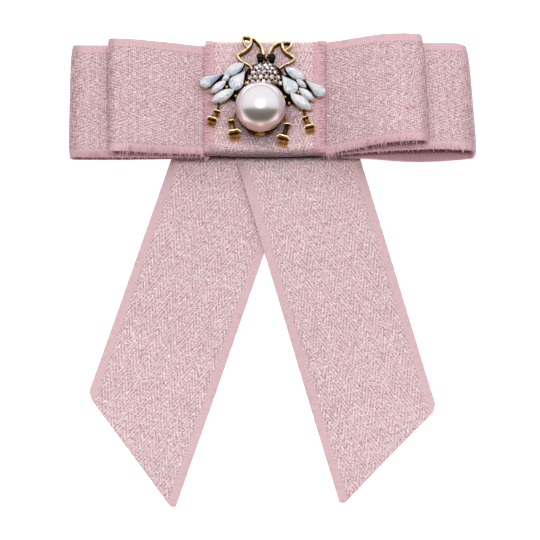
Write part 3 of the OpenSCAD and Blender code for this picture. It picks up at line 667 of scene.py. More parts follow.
# short loose threads that stand out of a selvage, in mm; rings: share of the thread, share of its radius;
# runs: start, end, side of the ribbon, how far out, length
fringeSet = {
    "step": 0.30, "radius": 0.11, "back": 2.2, "out": 0.62, "lift": 0.14, "hang": 0.7, "slant": 0.8,
    "tuft": 1.6, "sides": 4, "rings": ((0.0, 0.7), (0.45, 1.0), (0.85, 0.8), (1.0, 0.25)),
    "runs": {
        "front": ((0.02, 0.31, -1, 1.5, 31), (0.70, 0.98, -1, 1.6, 32), (0.285, 0.318, -1, 2.7, 5),
                  (0.682, 0.725, -1, 2.9, 7)),
        "rear": ((0.02, 0.32, -1, 0.8, 42), (0.68, 0.98, -1, 0.9, 44)),
        "band": ((0.4, 2.7, 1, 2.3, 62), (0.95, 2.7, -1, 2.0, 58))},
}


def fringeMesh(name, surface, runs):
    points, faces, tones = [], [], []
    f = fringeSet
    sides = f["sides"]
    for start, end, q, outShare, length in runs:
        count = int(length / f["step"])
        for i in range(count):
            base = len(points)
            u = lerp(start, end, (i + random.uniform(0, 1)) / count)
            slant = random.uniform(-f["slant"], f["slant"]) * f["step"] / length * (end - start)
            tuft = 0.75 + 0.7 * noise.noise(Vector((u * length / (end - start) / f["tuft"], q, 4.0)))
            out = outShare * f["out"] * tuft * (0.3 + random.random() ** 2 * 1.9)
            back = f["back"] * random.uniform(0.1, 1.0)
            for share, width in f["rings"]:
                far = lerp(-back, out, share)
                beyond = max(0.0, far)
                edge = 1 + min(0.0, far) / (ribbonCut["width"] / 2)
                here = surface(u + slant * share, q * edge)
                ahead = surface(u + slant * share + 0.01 * (end - start), q * edge)
                outward = (here - surface(u + slant * share, q * (edge - 0.04))).normalized()
                normal = (ahead - here).cross(outward).normalized()
                if normal.z < 0:
                    normal = -normal
                arch = 0.2 + 0.9 * math.sin(math.pi * min(1, share + 0.15))
                lift = ribbonCut["showWall"] / 2 + f["lift"] * arch - f["hang"] * beyond
                centre = here + outward * beyond + normal * lift
                ring = ringRound(centre, outward.cross(normal), normal, f["radius"] * width, sides)
                points += [inScene(spot) for spot in ring]
            tones += [random.random()] * (len(f["rings"]) * sides)
            for k in range((len(f["rings"]) - 1) * sides):
                a, b = base + k, base + k - k % sides + (k + 1) % sides
                faces.append((a, b, b + sides, a + sides))
            faces.append(tuple(base + j for j in reversed(range(sides))))
            faces.append(tuple(len(points) - sides + j for j in range(sides)))
    mesh = bpy.data.meshes.new(name)
    mesh.from_pydata(points, [], faces)
    mesh.attributes.new("threadTone", "FLOAT", "POINT").data.foreach_set("value", tones)
    piece = bpy.data.objects.new(name, mesh)
    bpy.context.scene.collection.objects.link(piece)
    editAll(piece, bpy.ops.mesh.normals_make_consistent, inside=False)
    bpy.ops.object.shade_smooth()
    return piece


# spun polyester thread: matt and fibrous, each thread a little lighter or darker than the next
def threadMaterial():
    material, add = newMaterial("loosePolyesterThread")
    tone = add("Attribute", attribute_name="threadTone").outputs["Fac"]
    shade = add("ValToRGB", tone, stops=((0.0, "#DCA6B0"), (0.4, "#EBBDC5"), (1.0, "#F8DCE1")))
    twist = add("TexNoise", add("TexCoord").outputs["Object"], 1 / (0.4 * mm), 1.0)
    bump = add("Bump", named={"Strength": 0.4, "Distance": 0.1 * mm, "Height": twist})
    add("OutputMaterial", add("BsdfPrincipled", named={
        "Base Color": shade, "Roughness": 0.8, "Normal": bump, "Sheen Weight": 0.2, "Sheen Roughness": 0.5}))
    return material


threadCloth = threadMaterial()
fringes = {
    "front": fringeMesh("frontLoopFringe", partial(loopMid, "front"), fringeSet["runs"]["front"]),
    "rear": fringeMesh("rearLoopFringe", partial(loopMid, "rear"), fringeSet["runs"]["rear"]),
    "band": fringeMesh("knotBandFringe", bandMid, fringeSet["runs"]["band"]),
}
for piece in fringes.values():
    piece.data.materials.append(threadCloth)
print("selvage threads laid")

# pearl: dipped resin bead with a flat back, a soft lustre under a hard clear skin
pearlSet = {"radius": 8.0, "centre": (-1.35, -10.07, 17.35), "flat": 6.4, "edge": 0.15,
            "paintedLightFrom": (0, 0.6, 0.8), "bloom": 8.333, "skin": 1.111}


def pearlPiece():
    p = pearlSet
    piece = addBall("pearlCabochon", p["centre"], p["radius"], 96, 64)
    flat = (p["centre"][2] - p["flat"]) * mm
    editAll(piece, bpy.ops.mesh.bisect, plane_co=(0, 0, flat), plane_no=(0, 0, 1), use_fill=True,
            clear_inner=True)
    roundEdges(piece, p["edge"], 3)
    applyAll(piece)
    bpy.ops.object.shade_smooth_by_angle(angle=math.radians(40))
    return piece


def pearlMaterial():
    material, add = newMaterial("dippedPearlResin")
    place = add("TexCoord").outputs["Object"]
    fromCentre = add("VectorMath", place, [c * mm for c in pearlSet["centre"]], operation="SUBTRACT")
    upward = add("VectorMath", fromCentre, pearlSet["paintedLightFrom"], operation="DOT_PRODUCT")
    bloom = add("TexNoise", place, 1 / (pearlSet["bloom"] * mm), 3.0)
    cloudy = add("Math", bloom, 2 * mm, -mm, operation="MULTIPLY_ADD")
    radius = pearlSet["radius"] * mm
    share = add("MapRange", add("Math", upward, cloudy, operation="ADD"), -radius, radius)
    # painted light: whiter with a cool cast towards the bead's top and back, peach and darker low down
    shade = add("ValToRGB", share, stops=(
        (0.1, "#DEBFA9"), (0.4, "#E6D0C9"), (0.55, "#E6D9D7"), (0.72, "#EFE9EA"), (0.85, "#F3F0F3")))
    skin = add("TexNoise", place, 1 / (pearlSet["skin"] * mm), 2.0)
    bump = add("Bump", named={"Strength": 0.05, "Distance": 0.02 * mm, "Height": skin})
    add("OutputMaterial", add("BsdfPrincipled", named={
        "Base Color": shade, "Roughness": 0.27, "Metallic": 0.82, "Normal": bump, "Coat Weight": 0.2,
        "Coat Roughness": 0.2, "Coat IOR": 1.45}))
    return material


pearl = pearlPiece()
pearl.data.materials.append(pearlMaterial())
print("pearl set")

# eyes: round black glass stones
eyeSet = {"radius": 1.225, "places": {"left": (-1.44, 7.66, 13.656), "right": (2.25, 7.64, 13.656)}}


# black glass: deep and even, with one small clear highlight
def blackGlass():
    material, add = newMaterial("blackGlassStone")
    depth = add("TexNoise", add("TexCoord").outputs["Object"], 1 / (1.111 * mm), 2.0)
    shade = add("ValToRGB", depth, stops=((0.35, "#030304"), (0.7, "#0C0B10")))
    add("OutputMaterial", add("BsdfPrincipled", named={
        "Base Color": shade, "Roughness": 0.12, "Specular IOR Level": 0.25}))
    return material


eyeGlass = blackGlass()
eyes = {}
for side, centre in eyeSet["places"].items():
    eyes[side] = addBall(side + "EyeStone", centre, eyeSet["radius"], 40, 28)
    bpy.ops.object.shade_smooth()
    eyes[side].data.materials.append(eyeGlass)
print("eyes set")


# solid grown by extruding a filled circle from ring to ring; a ring has points in mm and a shine of 0 to 1
def growSolid(name, rings):
    deselectAll()
    bpy.ops.mesh.primitive_circle_add(vertices=len(rings[0][0]), radius=mm, fill_type="NGON")
    piece = bpy.context.object
    piece.name = piece.data.name = name
    bpy.ops.object.mode_set(mode="EDIT")
    edit = bmesh.from_edit_mesh(piece.data)
    edit.verts.layers.int.new("order")
    edit.verts.layers.float.new("shine")
    for i, vertex in enumerate(edit.verts):
        vertex[edit.verts.layers.int["order"]] = i
    for count, (points, shine) in enumerate(rings):
        if count:
            bmesh.update_edit_mesh(piece.data)
            bpy.ops.mesh.extrude_region_move(TRANSFORM_OT_translate={"value": (0, 0, mm)})
            edit = bmesh.from_edit_mesh(piece.data)
        order = edit.verts.layers.int["order"]
        shineLayer = edit.verts.layers.float["shine"]
        for vertex in edit.verts:
            if vertex.select:
                i = vertex[order]
                vertex.co = points[i] * mm
                vertex[shineLayer] = shine[i] if isinstance(shine, list) else shine
    bmesh.update_edit_mesh(piece.data)
    bpy.ops.mesh.select_all(action="SELECT")
    bpy.ops.mesh.normals_make_consistent(inside=False)
    bpy.ops.object.mode_set(mode="OBJECT")
    piece.data.attributes.remove(piece.data.attributes["order"])
    return piece


# the same value on every corner of a mesh
def giveValue(piece, name, value):
    values = piece.data.attributes.new(name, "FLOAT", "POINT")
    values.data.foreach_set("value", [value] * len(piece.data.vertices))


def joinAll(pieces, name):
    deselectAll()
    for piece in pieces:
        piece.select_set(True)
    bpy.context.view_layer.objects.active = pieces[0]
    bpy.ops.object.join()
    pieces[0].name = pieces[0].data.name = name
    return pieces[0]


# painted shadow: a dark cord laid along the knot's foot, where there is only shade, seen as a thin dark line
shadowCordSet = {"radius": 0.36, "reach": 18.4, "steps": 60, "corners": 10, "turn": 42, "sunk": 0.8,
           "thinner": 0.75}


def shadowCordPiece():
    s = shadowCordSet
    turn = math.radians(s["turn"])
    far = bow["knotFold"] - halfWall + ribbonCut["showWall"] / 2 + s["radius"] * s["sunk"]
    rings = []
    for i in range(s["steps"] + 1):
        q = lerp(-s["reach"], s["reach"], i / s["steps"]) / knotHalf
        belly = (bandMid(3.5, q) - bandPoint(3.5, 0)).y
        y = -(bow["knotHeight"] / 2 - bow["knotFold"] + far * math.cos(turn)) + belly - bow["drop"]
        z = bandBack + bow["knotFold"] - halfWall - far * math.sin(turn)
        thick = s["radius"] * (1 - s["thinner"] * smooth(6 * abs(q) - 5))
        centre = Vector((q * knotHalf, y, z))
        rings.append((ringRound(centre, Vector((0, 1, 0)), Vector((0, 0, 1)), thick, s["corners"]), 0.0))
    piece = growSolid("paintedShadowCord", rings)
    choose(piece)
    bpy.ops.object.shade_smooth()
    return piece


# painted shadow cord: wine-red to almost black, twisted, without gloss
def shadowCordMaterial():
    material, add = newMaterial("paintedShadowCordCloth")
    ply = add("TexNoise", add("TexCoord").outputs["Object"], 1 / (0.6667 * mm), 2.0)
    shade = add("ValToRGB", ply, stops=((0.3, "#22060F"), (0.7, "#4A1C2A")))
    add("OutputMaterial", add("BsdfPrincipled", named={"Base Color": shade, "Roughness": 0.85}))
    return material


# corner of selvage folded out at the left end of the knot's foot; layers: share of the outline, height
cornerSet = {"low": 3.3, "layers": ((0.9, 0.0), (1.0, 0.25), (0.92, 0.5), (0.4, 0.75)), "edge": 0.12,
             "tone": 0.3, "outline": (
                 (-20.0, -22.0), (-18.4, -22.0), (-17.0, -22.1), (-17.8, -23.1), (-18.8, -24.1),
                 (-19.3, -23.1))}


def foldedCorner():
    c = cornerSet
    outline = [Vector((x, y, c["low"])) for x, y in c["outline"]]
    middle = sum(outline, Vector()) / len(outline)
    rings = [([middle.lerp(spot, share) + Vector((0, 0, height)) for spot in outline], 0.0)
             for share, height in c["layers"]]
    piece = growSolid("foldedSelvageCorner", rings)
    giveValue(piece, "threadTone", c["tone"])
    roundEdges(piece, c["edge"], 2)
    applyAll(piece)
    bpy.ops.object.shade_smooth()
    piece.data.materials.append(threadCloth)
    return piece


selvageCorner = foldedCorner()
knotShadowCord = shadowCordPiece()
knotShadowCord.data.materials.append(shadowCordMaterial())
print("painted shadow cord drawn")

# the insect's own measures are shares of the pearl's radius
insect = {"place": (-1.35, -10.07, 10.15), "radius": 8.0, "slope": 8.0, "wingHeight": 0.385, "wingRoot": 0.9}


def onInsect(x, y, z):
    return Vector((x, y, z)) * insect["radius"] + Vector(insect["place"])


# wing stones: kind, across, along, length, width, turn
wingStones = {
    "left": (("marquise", -1.06, 1.73, 0.86, 0.38, 29), ("pear", -1.95, 1.35, 0.88, 0.42, 24),
             ("marquise", -1.67, 1.04, 0.70, 0.28, 38), ("marquise", -1.38, 1.38, 0.30, 0.17, 38),
             ("pear", -0.88, 1.29, 0.80, 0.53, 52), ("marquise", -1.49, 0.65, 0.95, 0.40, 27)),
    "right": (("marquise", 1.38, 1.57, 0.83, 0.36, -29), ("pear", 2.15, 1.03, 0.86, 0.43, 144),
              ("marquise", 1.82, 0.73, 0.70, 0.28, -39), ("marquise", 1.62, 1.17, 0.42, 0.19, -39),
              ("pear", 1.11, 1.12, 0.80, 0.53, 127), ("marquise", 1.60, 0.405, 0.96, 0.41, -36)),
}
# rings, back to front: growth of the outline in mm, share of it, height, shine;
# the outer, lower side gets a painted highlight
bezelCut = {"corners": 20, "wearAndPaintedLight": (0.5, -0.85), "rings": (
    (0.42, 1, -0.16, 0.1), (0.40, 1, -0.10, 0.45), (0.26, 1, -0.05, 1.0), (0.14, 1, -0.032, 0.7),
    (0.02, 1, -0.036, 0.05), (0.0, 0.42, -0.125, 0.0))}
# opal stone rings the same way; their outer, upper side gets a painted highlight
stoneCut = {"corners": 16, "wearAndPaintedLight": (0.3, 0.3), "rings": (
    (0.16, 0.40, -0.105, 0.2), (0.20, 1, -0.017, 0), (0.20, 1, 0.006, 0.05), (0.18, 0.76, 0.072, 0.55),
    (0.16, 0.46, 0.108, 1.0))}


def stoneOutline(kind, halfLength, halfWidth, corners):
    points = []
    if kind == "pear":
        middle = halfWidth - halfLength
        turn = math.acos(halfWidth / (halfLength - middle))
        points.append((halfLength, 0))
        for i in range(corners - 1):
            g = turn + (2 * math.pi - 2 * turn) * i / (corners - 2)
            points.append((middle + halfWidth * math.cos(g), halfWidth * math.sin(g)))
        return points
    r = (halfLength ** 2 + halfWidth ** 2) / (2 * halfWidth)
    for side in (1, -1):
        for i in range(corners // 2):
            x = side * halfLength * math.cos(2 * math.pi * i / corners)
            points.append((x, side * (math.sqrt(r * r - x * x) - (r - halfWidth))))
    return points


# rings of a cut shape on the wing, which slopes down and outward
def wingRings(stone, cut):
    kind, across, along, length, width, turn = stone
    r = insect["radius"]
    side = 1 if across > 0 else -1
    slope, turn = math.radians(side * insect["slope"]), math.radians(turn)
    drop = (abs(across) - insect["wingRoot"]) * math.tan(abs(slope))
    middle = onInsect(across, along, insect["wingHeight"] - drop)
    paintedLightX, paintedLightY = cut["wearAndPaintedLight"]
    rings = []
    for grow, share, height, shine in cut["rings"]:
        points, shines = [], []
        for x, y in stoneOutline(kind, length * r / 2 + 1.6 * grow, width * r / 2 + grow, cut["corners"]):
            x, y, z = x * share, y * share, height * r
            x, y = x * math.cos(turn) - y * math.sin(turn), x * math.sin(turn) + y * math.cos(turn)
            points.append(middle + Vector((x * math.cos(slope) + z * math.sin(slope), y,
                                           z * math.cos(slope) - x * math.sin(slope))))
            # shine raised on one side of the cut: a painted highlight
            facing = (side * paintedLightX * x + paintedLightY * y) / math.hypot(x, y)
            shines.append(shine * lerp(0.2, 1.0, smooth(facing + 0.35)))
        rings.append((points, shines))
    return rings


metal = [growSolid("bezel", wingRings(stone, bezelCut)) for stones in wingStones.values() for stone in stones]
print("bezels grown:", len(metal))

# plates under the wings, small balls on stems between the stones
plateSet = {"low": 0.08, "high": 0.18, "left": ((-0.2, 0.2), (-0.2, 1.5)), "right": ((0.2, 0.2), (0.4, 1.5)),
            "balls": ((-1.34, 1.00), (1.50, 0.78), (0.97, 0.58), (1.13, 0.32), (-0.98, 0.62), (-1.20, 1.62)),
            "ballRadius": 0.058, "ballHeight": 0.34, "ballShine": 0.62, "stem": 0.05}
for side, stones in wingStones.items():
    corners = list(plateSet[side]) + [(stones[i][1], stones[i][2]) for i in (0, 1, 2, 5)]
    metal.append(growSolid("plate", [([onInsect(x, y, z) for x, y in corners], 0.0)
                                     for z in (plateSet["low"], plateSet["high"])]))
for x, y in plateSet["balls"]:
    thick = plateSet["stem"] * insect["radius"]
    stem = [(ringRound(onInsect(x, y, z), Vector((1, 0, 0)), Vector((0, 1, 0)), thick, 12), 0.0)
            for z in (plateSet["low"], plateSet["ballHeight"])]
    metal.append(growSolid("stem", stem))
    ballPlace = onInsect(x, y, plateSet["ballHeight"])
    ball = addBall("ball", ballPlace, plateSet["ballRadius"] * insect["radius"], 20, 12)
    giveValue(ball, "shine", plateSet["ballShine"])
    metal.append(ball)

# cup: small scallops grip the pearl; rings: radius, height, share of the scallops, shine
cupSet = {"corners": 96, "scallops": 16, "scallop": 0.008, "lip": 0.075, "lipWide": 0.8, "highlightWidth": 0.32,
          "rings": ((0.86, 0.0, 0.0, 0.0), (0.87, 0.12, 0.0, 0.1), (0.93, 0.24, 0.7, 0.15),
                    (0.955, 0.34, 1, 0.35), (0.96, 0.40, 1, 0.75), (0.935, 0.43, 0.9, 0.85),
                    (0.90, 0.42, 0.0, 0.45), (0.84, 0.33, 0.0, 0.0), (0.66, 0.10, 0.0, 0.0))}


def cupSolid():
    c = cupSet
    rings = []
    for radius, height, share, shine in c["rings"]:
        points, shines = [], []
        for i in range(c["corners"]):
            g = 2 * math.pi * i / c["corners"]
            lobe = share * c["scallop"] * math.cos(c["scallops"] * g)
            lip = c["lip"] * smooth((-math.sin(g) - c["lipWide"]) / (1 - c["lipWide"]) * 2)
            far = radius + lobe + lip * share
            points.append(onInsect(far * math.cos(g), far * math.sin(g), height + lobe))
            # painted highlight: the cup is made brighter at its front
            paintedFrontHighlight = 0.25 + 0.75 * smooth(1 - abs(g - 1.5 * math.pi) / c["highlightWidth"])
            shines.append(shine * paintedFrontHighlight * (0.8 + 0.2 * math.cos(c["scallops"] * g)))
        rings.append((points, shines))
    return growSolid("cup", rings)


metal.append(cupSolid())

# thorax dome and its crystals; rows: place along, number, offset across; sizes with a crystal in mm
domeSet = {"centre": (0.13, 1.34), "axes": (0.84, 0.76, 0.60), "low": 0.02, "shine": 0.12, "pitch": 0.218,
           "rows": ((-0.20, 7, 0.0), (0.005, 6, 0.0), (0.21, 5, 0.01), (0.40, 4, 0.02), (0.56, 3, 0.03)),
           "crystal": 0.86, "tilt": 14, "bead": 0.17, "beadLift": 0.22, "beadShine": 0.58,
           "beads": ((0.5, 0.0), (0.25, 0.1), (-0.25, 0.1))}
# rings of a crystal from back to front: share of its radius, height, wave of its edge
crystalCut = ((0.45, -0.42, 0), (1, -0.06, 0), (1, 0.04, 0), (0.80, 0.21, 0.03), (0.55, 0.36, 0))
dome = addBall("dome", onInsect(*domeSet["centre"], 0), insect["radius"], 48, 32, domeSet["axes"])
editAll(dome, bpy.ops.mesh.bisect, plane_co=onInsect(0, 0, domeSet["low"]) * mm, plane_no=(0, 0, 1),
        use_fill=True, clear_inner=True)
giveValue(dome, "shine", domeSet["shine"])
metal.append(dome)


def domePlace(x, y, lift):
    ax, ay, az = domeSet["axes"]
    z = az * math.sqrt(max(0.0, 1 - (x / ax) ** 2 - (y / ay) ** 2))
    normal = Vector((x / ax ** 2, y / ay ** 2, z / az ** 2)).normalized()
    return onInsect(domeSet["centre"][0] + x, domeSet["centre"][1] + y, z) + normal * lift, normal


def crystalSolid(x, along):
    spot, normal = domePlace(x, along, 0)
    tilt = math.radians(domeSet["tilt"])
    aside = Vector((random.uniform(-tilt, tilt), random.uniform(-tilt, tilt), 0))
    turned = Vector((0, 0, 1)).rotation_difference((normal + aside).normalized())
    spin = random.uniform(0, math.pi / 4)
    size = domeSet["crystal"]
    rings = []
    for share, height, wave in crystalCut:
        points = []
        for k in range(16):
            g = spin + math.pi * k / 8
            r = share * size * (math.cos(math.pi / 8) if k % 2 and share < 0.6 else 1)
            z = (height + (wave if k % 2 else -wave)) * 2 * size
            points.append(spot + turned @ Vector((r * math.cos(g), r * math.sin(g), z)))
        rings.append((points, random.random()))
    return growSolid("crystal", rings)


def beadSolid(x, along):
    deselectAll()
    place = domePlace(x, along, domeSet["beadLift"])[0] * mm
    bpy.ops.mesh.primitive_ico_sphere_add(subdivisions=2, radius=domeSet["bead"] * mm, location=place)
    bead = bpy.context.object
    setPlace(bead)
    giveValue(bead, "shine", domeSet["beadShine"])
    return bead


crystals = []
for along, count, offset in domeSet["rows"]:
    for i in range(count):
        x = offset + (i - (count - 1) / 2) * domeSet["pitch"]
        crystals.append(crystalSolid(x, along))
        for dx, dy in domeSet["beads"]:
            metal.append(beadSolid(x + dx * domeSet["pitch"], along + dy))
print("crystals set:", len(crystals))
paveCrystals = joinAll(crystals, "paveCrystals")

# head between two deep eye cups; rings of a cup: share of its radius, height
headSet = {"centre": (0.215, 2.25, 0.16), "axes": (0.09, 0.13, 0.17), "shine": 0.55,
           "eyes": ((-0.011, 2.216), (0.45, 2.214)), "cupRadius": 0.125, "cupBack": 0.06, "corners": 28,
           "rings": ((1.0, 0.12), (1.05, 0.30), (0.97, 0.36), (0.80, 0.34))}
head = addBall("head", onInsect(*headSet["centre"]), insect["radius"], 32, 20, headSet["axes"])
giveValue(head, "shine", headSet["shine"])
metal.append(head)
for x, y in headSet["eyes"]:
    rings = []
    for share, z in headSet["rings"]:
        r = headSet["cupRadius"] * share
        points = []
        for i in range(headSet["corners"]):
            g = 2 * math.pi * i / headSet["corners"]
            stretch = headSet["cupBack"] * max(0.0, -math.sin(g))
            points.append(onInsect(x + r * math.cos(g), y + r * math.sin(g) - stretch, z))
        rings.append((points, 0.0))
    metal.append(growSolid("eyeCup", rings))

# open outlines beside the head: strips on edge, their inner wall slopes down to the ribbon;
# profile: way in and height in mm, shine; paths: across, along
hornSet = {"low": 0.13, "steps": 4, "wide": 0.22, "tall": 0.10, "profile": (
    (-0.33, 0.0, 0.1), (-0.41, 1.45, 0.5), (-0.37, 1.82, 0.85), (-0.15, 2.0, 0.9), (0.19, 2.0, 0.92),
    (0.39, 1.80, 0.7), (0.48, 1.35, 0.30), (0.78, 0.0, 0.08)), "paths": {
    "left": (((0.13, 2.36), (0.08, 2.54), (-0.01, 2.78), (-0.20, 2.98), (-0.42, 3.07), (-0.70, 3.12)),
             ((-0.70, 3.12), (-0.73, 3.00), (-0.63, 2.80), (-0.50, 2.64)),
             ((-0.37, 3.03), (-0.40, 2.80), (-0.54, 2.58), (-0.78, 2.43), (-0.93, 2.31)),
             ((-0.93, 2.31), (-0.82, 2.15), (-0.64, 2.02), (-0.42, 1.88), (-0.32, 1.72))),
    "right": (((0.33, 2.38), (0.42, 2.60), (0.58, 2.78), (0.80, 2.87), (1.03, 2.88), (1.24, 2.86)),
              ((1.24, 2.86), (1.21, 2.73), (1.10, 2.60), (0.98, 2.52)),
              ((0.85, 2.85), (0.92, 2.60), (1.04, 2.44), (1.24, 2.31), (1.37, 2.18)),
              ((1.37, 2.18), (1.20, 2.04), (0.98, 1.94), (0.74, 1.78)))}}


# smooth curve through points in a plane
def smoothPath(points, steps):
    path = []
    last = len(points) - 1
    for i in range(last):
        a, b, c, d = (Vector(points[min(last, max(0, k))]) for k in (i - 1, i, i + 1, i + 2))
        for k in range(steps):
            t = k / steps
            path.append((2 * t ** 3 - 3 * t ** 2 + 1) * b + (t ** 3 - 2 * t ** 2 + t) * (c - a) / 2
                        + (3 * t ** 2 - 2 * t ** 3) * c + (t ** 3 - t ** 2) * (d - b) / 2)
    return path + [Vector(points[last])]


def stripSolid(points, inside):
    path = smoothPath(points, hornSet["steps"])
    shines = [shine for into, up, shine in hornSet["profile"]]
    rings = []
    for i, spot in enumerate(path):
        d = (path[min(len(path) - 1, i + 1)] - path[max(0, i - 1)]).normalized()
        inward = Vector((-d.y, d.x, 0)) * inside
        wide = 1 + hornSet["wide"] * noise.noise(Vector((spot.x * 6, spot.y * 6, 2.0)))
        tall = 1 + hornSet["tall"] * noise.noise(Vector((spot.x * 5, spot.y * 5, 8.0)))
        foot = onInsect(spot.x, spot.y, hornSet["low"])
        rings.append(([foot + inward * into * wide + Vector((0, 0, up * tall))
                       for into, up, shine in hornSet["profile"]], shines))
    return growSolid("outlineStrip", rings)


for side, paths in hornSet["paths"].items():
    metal += [stripSolid(points, 1 if side == "left" else -1) for points in paths]

# legs: root, knob, foot, turn of knob and foot, size of the foot
legSet = {"height": 0.17, "wire": 0.05, "shank": (0.078, 0.11), "knobSize": 0.70, "knobDrop": 0.11,
          "bend": 0.30, "lobe": 0.06, "lobeWidth": 0.232, "cleft": 0.07, "cleftWidth": 0.19,
          "wireShine": (0.1, 0.3, 0.3), "shankShine": (0.05, 0.16, 0.3, 0.26, 0.08), "legs": (
              ((-1.62, 0.60), (-1.70, 0.04), (-1.90, -0.26), -18, -16, 1.0),
              ((-0.86, 0.08), (-1.16, -0.36), (-1.06, -0.81), 8, 10, 1.2),
              ((0.88, 0.06), (1.07, -0.50), (0.92, -1.04), -4, -16, 1.2),
              ((1.66, 0.40), (1.76, -0.22), (1.93, -0.58), 18, 14, 1.0))}
# foot from the ribbon up: half width, half depth, slide, height, shine
footCut = (
    (0.15, 0.05, -0.235, 0.01, 0.3), (0.175, 0.055, -0.225, 0.06, 0.6), (0.18, 0.055, -0.18, 0.13, 0.45),
    (0.16, 0.05, -0.12, 0.18, 0.5), (0.16, 0.045, -0.085, 0.20, 0.2), (0.19, 0.045, -0.06, 0.215, 0.0),
    (0.228, 0.040, -0.022, 0.262, 0.6), (0.232, 0.030, -0.006, 0.30, 1.0), (0.20, 0.014, 0.0, 0.31, 0.9))


# a rounded foot: cleft in its lower part, with two lobes at its rim
def footSolid(x, y, z, size, turn):
    turn = math.radians(turn)
    rings = []
    for halfWidth, halfDepth, slide, height, shine in footCut:
        points = []
        for i in range(24):
            g = 2 * math.pi * (i + 0.5) / 24
            u = halfWidth * math.copysign(abs(math.cos(g)) ** 0.7, math.cos(g))
            v = halfDepth * math.copysign(abs(math.sin(g)) ** 0.8, math.sin(g))
            v += slide - legSet["bend"] * abs(u)
            if height < 0.19:
                v += legSet["cleft"] * (1 - math.sin(math.pi * min(1.0, abs(u) / legSet["cleftWidth"])))
            else:
                v += legSet["lobe"] * math.sin(math.pi * min(1.0, abs(u) / legSet["lobeWidth"]))
            points.append(onInsect(x + size * (u * math.cos(turn) - v * math.sin(turn)),
                                   y + size * (u * math.sin(turn) + v * math.cos(turn)), z + size * height))
        rings.append((points, shine))
    return growSolid("foot", rings)


def rodSolid(a, b, radii, shines):
    across = (b - a).normalized().orthogonal().normalized()
    up = (b - a).normalized().cross(across)
    return growSolid("rod", [
        (ringRound(a.lerp(b, i / (len(radii) - 1)), across, up, radius * insect["radius"], 16), shine)
        for i, (radius, shine) in enumerate(zip(radii, shines))])


for root, knob, foot, knobTurn, footTurn, size in legSet["legs"]:
    z = legSet["height"]
    r1, r2 = legSet["shank"]
    shank = (r1, r1, lerp(r1, r2, 0.4), r2, 0.9 * r2)
    metal.append(rodSolid(onInsect(*root, z), onInsect(*knob, z), (legSet["wire"],) * 3, legSet["wireShine"]))
    metal.append(rodSolid(onInsect(*knob, z), onInsect(*foot, z + 0.03), shank, legSet["shankShine"]))
    metal.append(footSolid(*knob, z - legSet["knobDrop"], legSet["knobSize"], knobTurn))
    metal.append(footSolid(*foot, 0, size, footTurn))
castFrame = joinAll(metal, "castInsectFrame")
roundEdges(castFrame, 0.05, 2, 38)
applyAll(castFrame)
bpy.ops.object.shade_smooth_by_angle(angle=math.radians(34))
print("insect cast:", len(castFrame.data.polygons))


# cast zinc with worn gold plate: rubbed edges shine pale, hollows keep the brown-black stain
def castGold():
    material, add = newMaterial("darkenedGoldPlate")
    # shine: the worn gold's own brightness, with painted highlights on the bezels and on the cup's front
    shine = add("Attribute", attribute_name="shine").outputs["Fac"]
    place = add("TexCoord").outputs["Object"]
    stain = add("TexNoise", place, 1 / (1.111 * mm), 4.0)
    sharp = add("MapRange", add("NewGeometry").outputs["Pointiness"], 0.44, 0.56, -0.35, 0.35)
    stained = add("Math", stain, 2.2, -0.1, operation="MULTIPLY_ADD")
    wearAndPaintedLight = add("Math", stained, sharp, operation="ADD")
    wearAndPaintedHighlight = add("Math", wearAndPaintedLight, shine, operation="MULTIPLY", use_clamp=True)
    # the copper middle of the ramp is partly painted reflection of the pink cloth, as on the feet
    shade = add("ValToRGB", wearAndPaintedHighlight, stops=(
        (0.0, "#140D08"), (0.22, "#50301A"), (0.48, "#D0914F"), (0.8, "#E4BC74"), (1.0, "#F8E6B4")))
    pits = add("TexNoise", place, 1 / (0.3846 * mm), 2.0)
    add("OutputMaterial", add("BsdfPrincipled", named={
        "Base Color": shade, "Metallic": 1.0, "Roughness": add("MapRange", wearAndPaintedHighlight, 0.0, 1.0, 0.6, 0.26),
        "Normal": add("Bump", named={"Strength": 0.35, "Distance": 0.06 * mm, "Height": pits})}))
    return material


castFrame.data.materials.append(castGold())


# opal glass: milky body, blue towards the edge and rose where the foil shines through
def opalGlass():
    material, add = newMaterial("milkyOpalGlass")
    # shine: whiter towards the table, with a painted highlight on the outer, upper side
    inner = add("Attribute", attribute_name="shine").outputs["Fac"]
    facet = add("Attribute", attribute_name="facet").outputs["Fac"]
    cloud = add("TexNoise", add("TexCoord").outputs["Object"], 1 / (2.3256 * mm), 3.0)
    mixed = add("Math", cloud, 0.9, -0.47, operation="MULTIPLY_ADD")
    faceted = add("Math", facet, 0.9, mixed, operation="MULTIPLY_ADD")
    depth = add("Math", inner, 0.25, faceted, operation="MULTIPLY_ADD")
    shade = add("ValToRGB", depth, stops=(
        (0.0, "#A6C2E4"), (0.15, "#C4D8EA"), (0.35, "#D8E5EA"), (0.6, "#EAE9ED"), (0.85, "#FFFBFC")))
    add("OutputMaterial", add("BsdfPrincipled", named={
        "Base Color": shade, "Roughness": 0.12, "IOR": 1.5, "Subsurface Weight": 0.2,
        "Subsurface Radius": (1.0, 1.0, 1.2), "Subsurface Scale": 0.6 * mm, "Coat Weight": 0.5,
        "Coat Roughness": 0.04}))
    return material


# each facet has its own number, so that neighbours differ as in cut glass, and the highest turn near-white as
# painted highlights; numbers go by place, as the order of extruded faces changes from run to run
def opalStone(name, stone, material):
    piece = growSolid(name, wingRings(stone, stoneCut))
    facet = piece.data.attributes.new("facet", "FLOAT", "FACE")
    for face in sorted(piece.data.polygons, key=lambda face: [round(c / mm, 3) for c in face.center]):
        facet.data[face.index].value = random.random()
    piece.data.materials.append(material)
    return piece


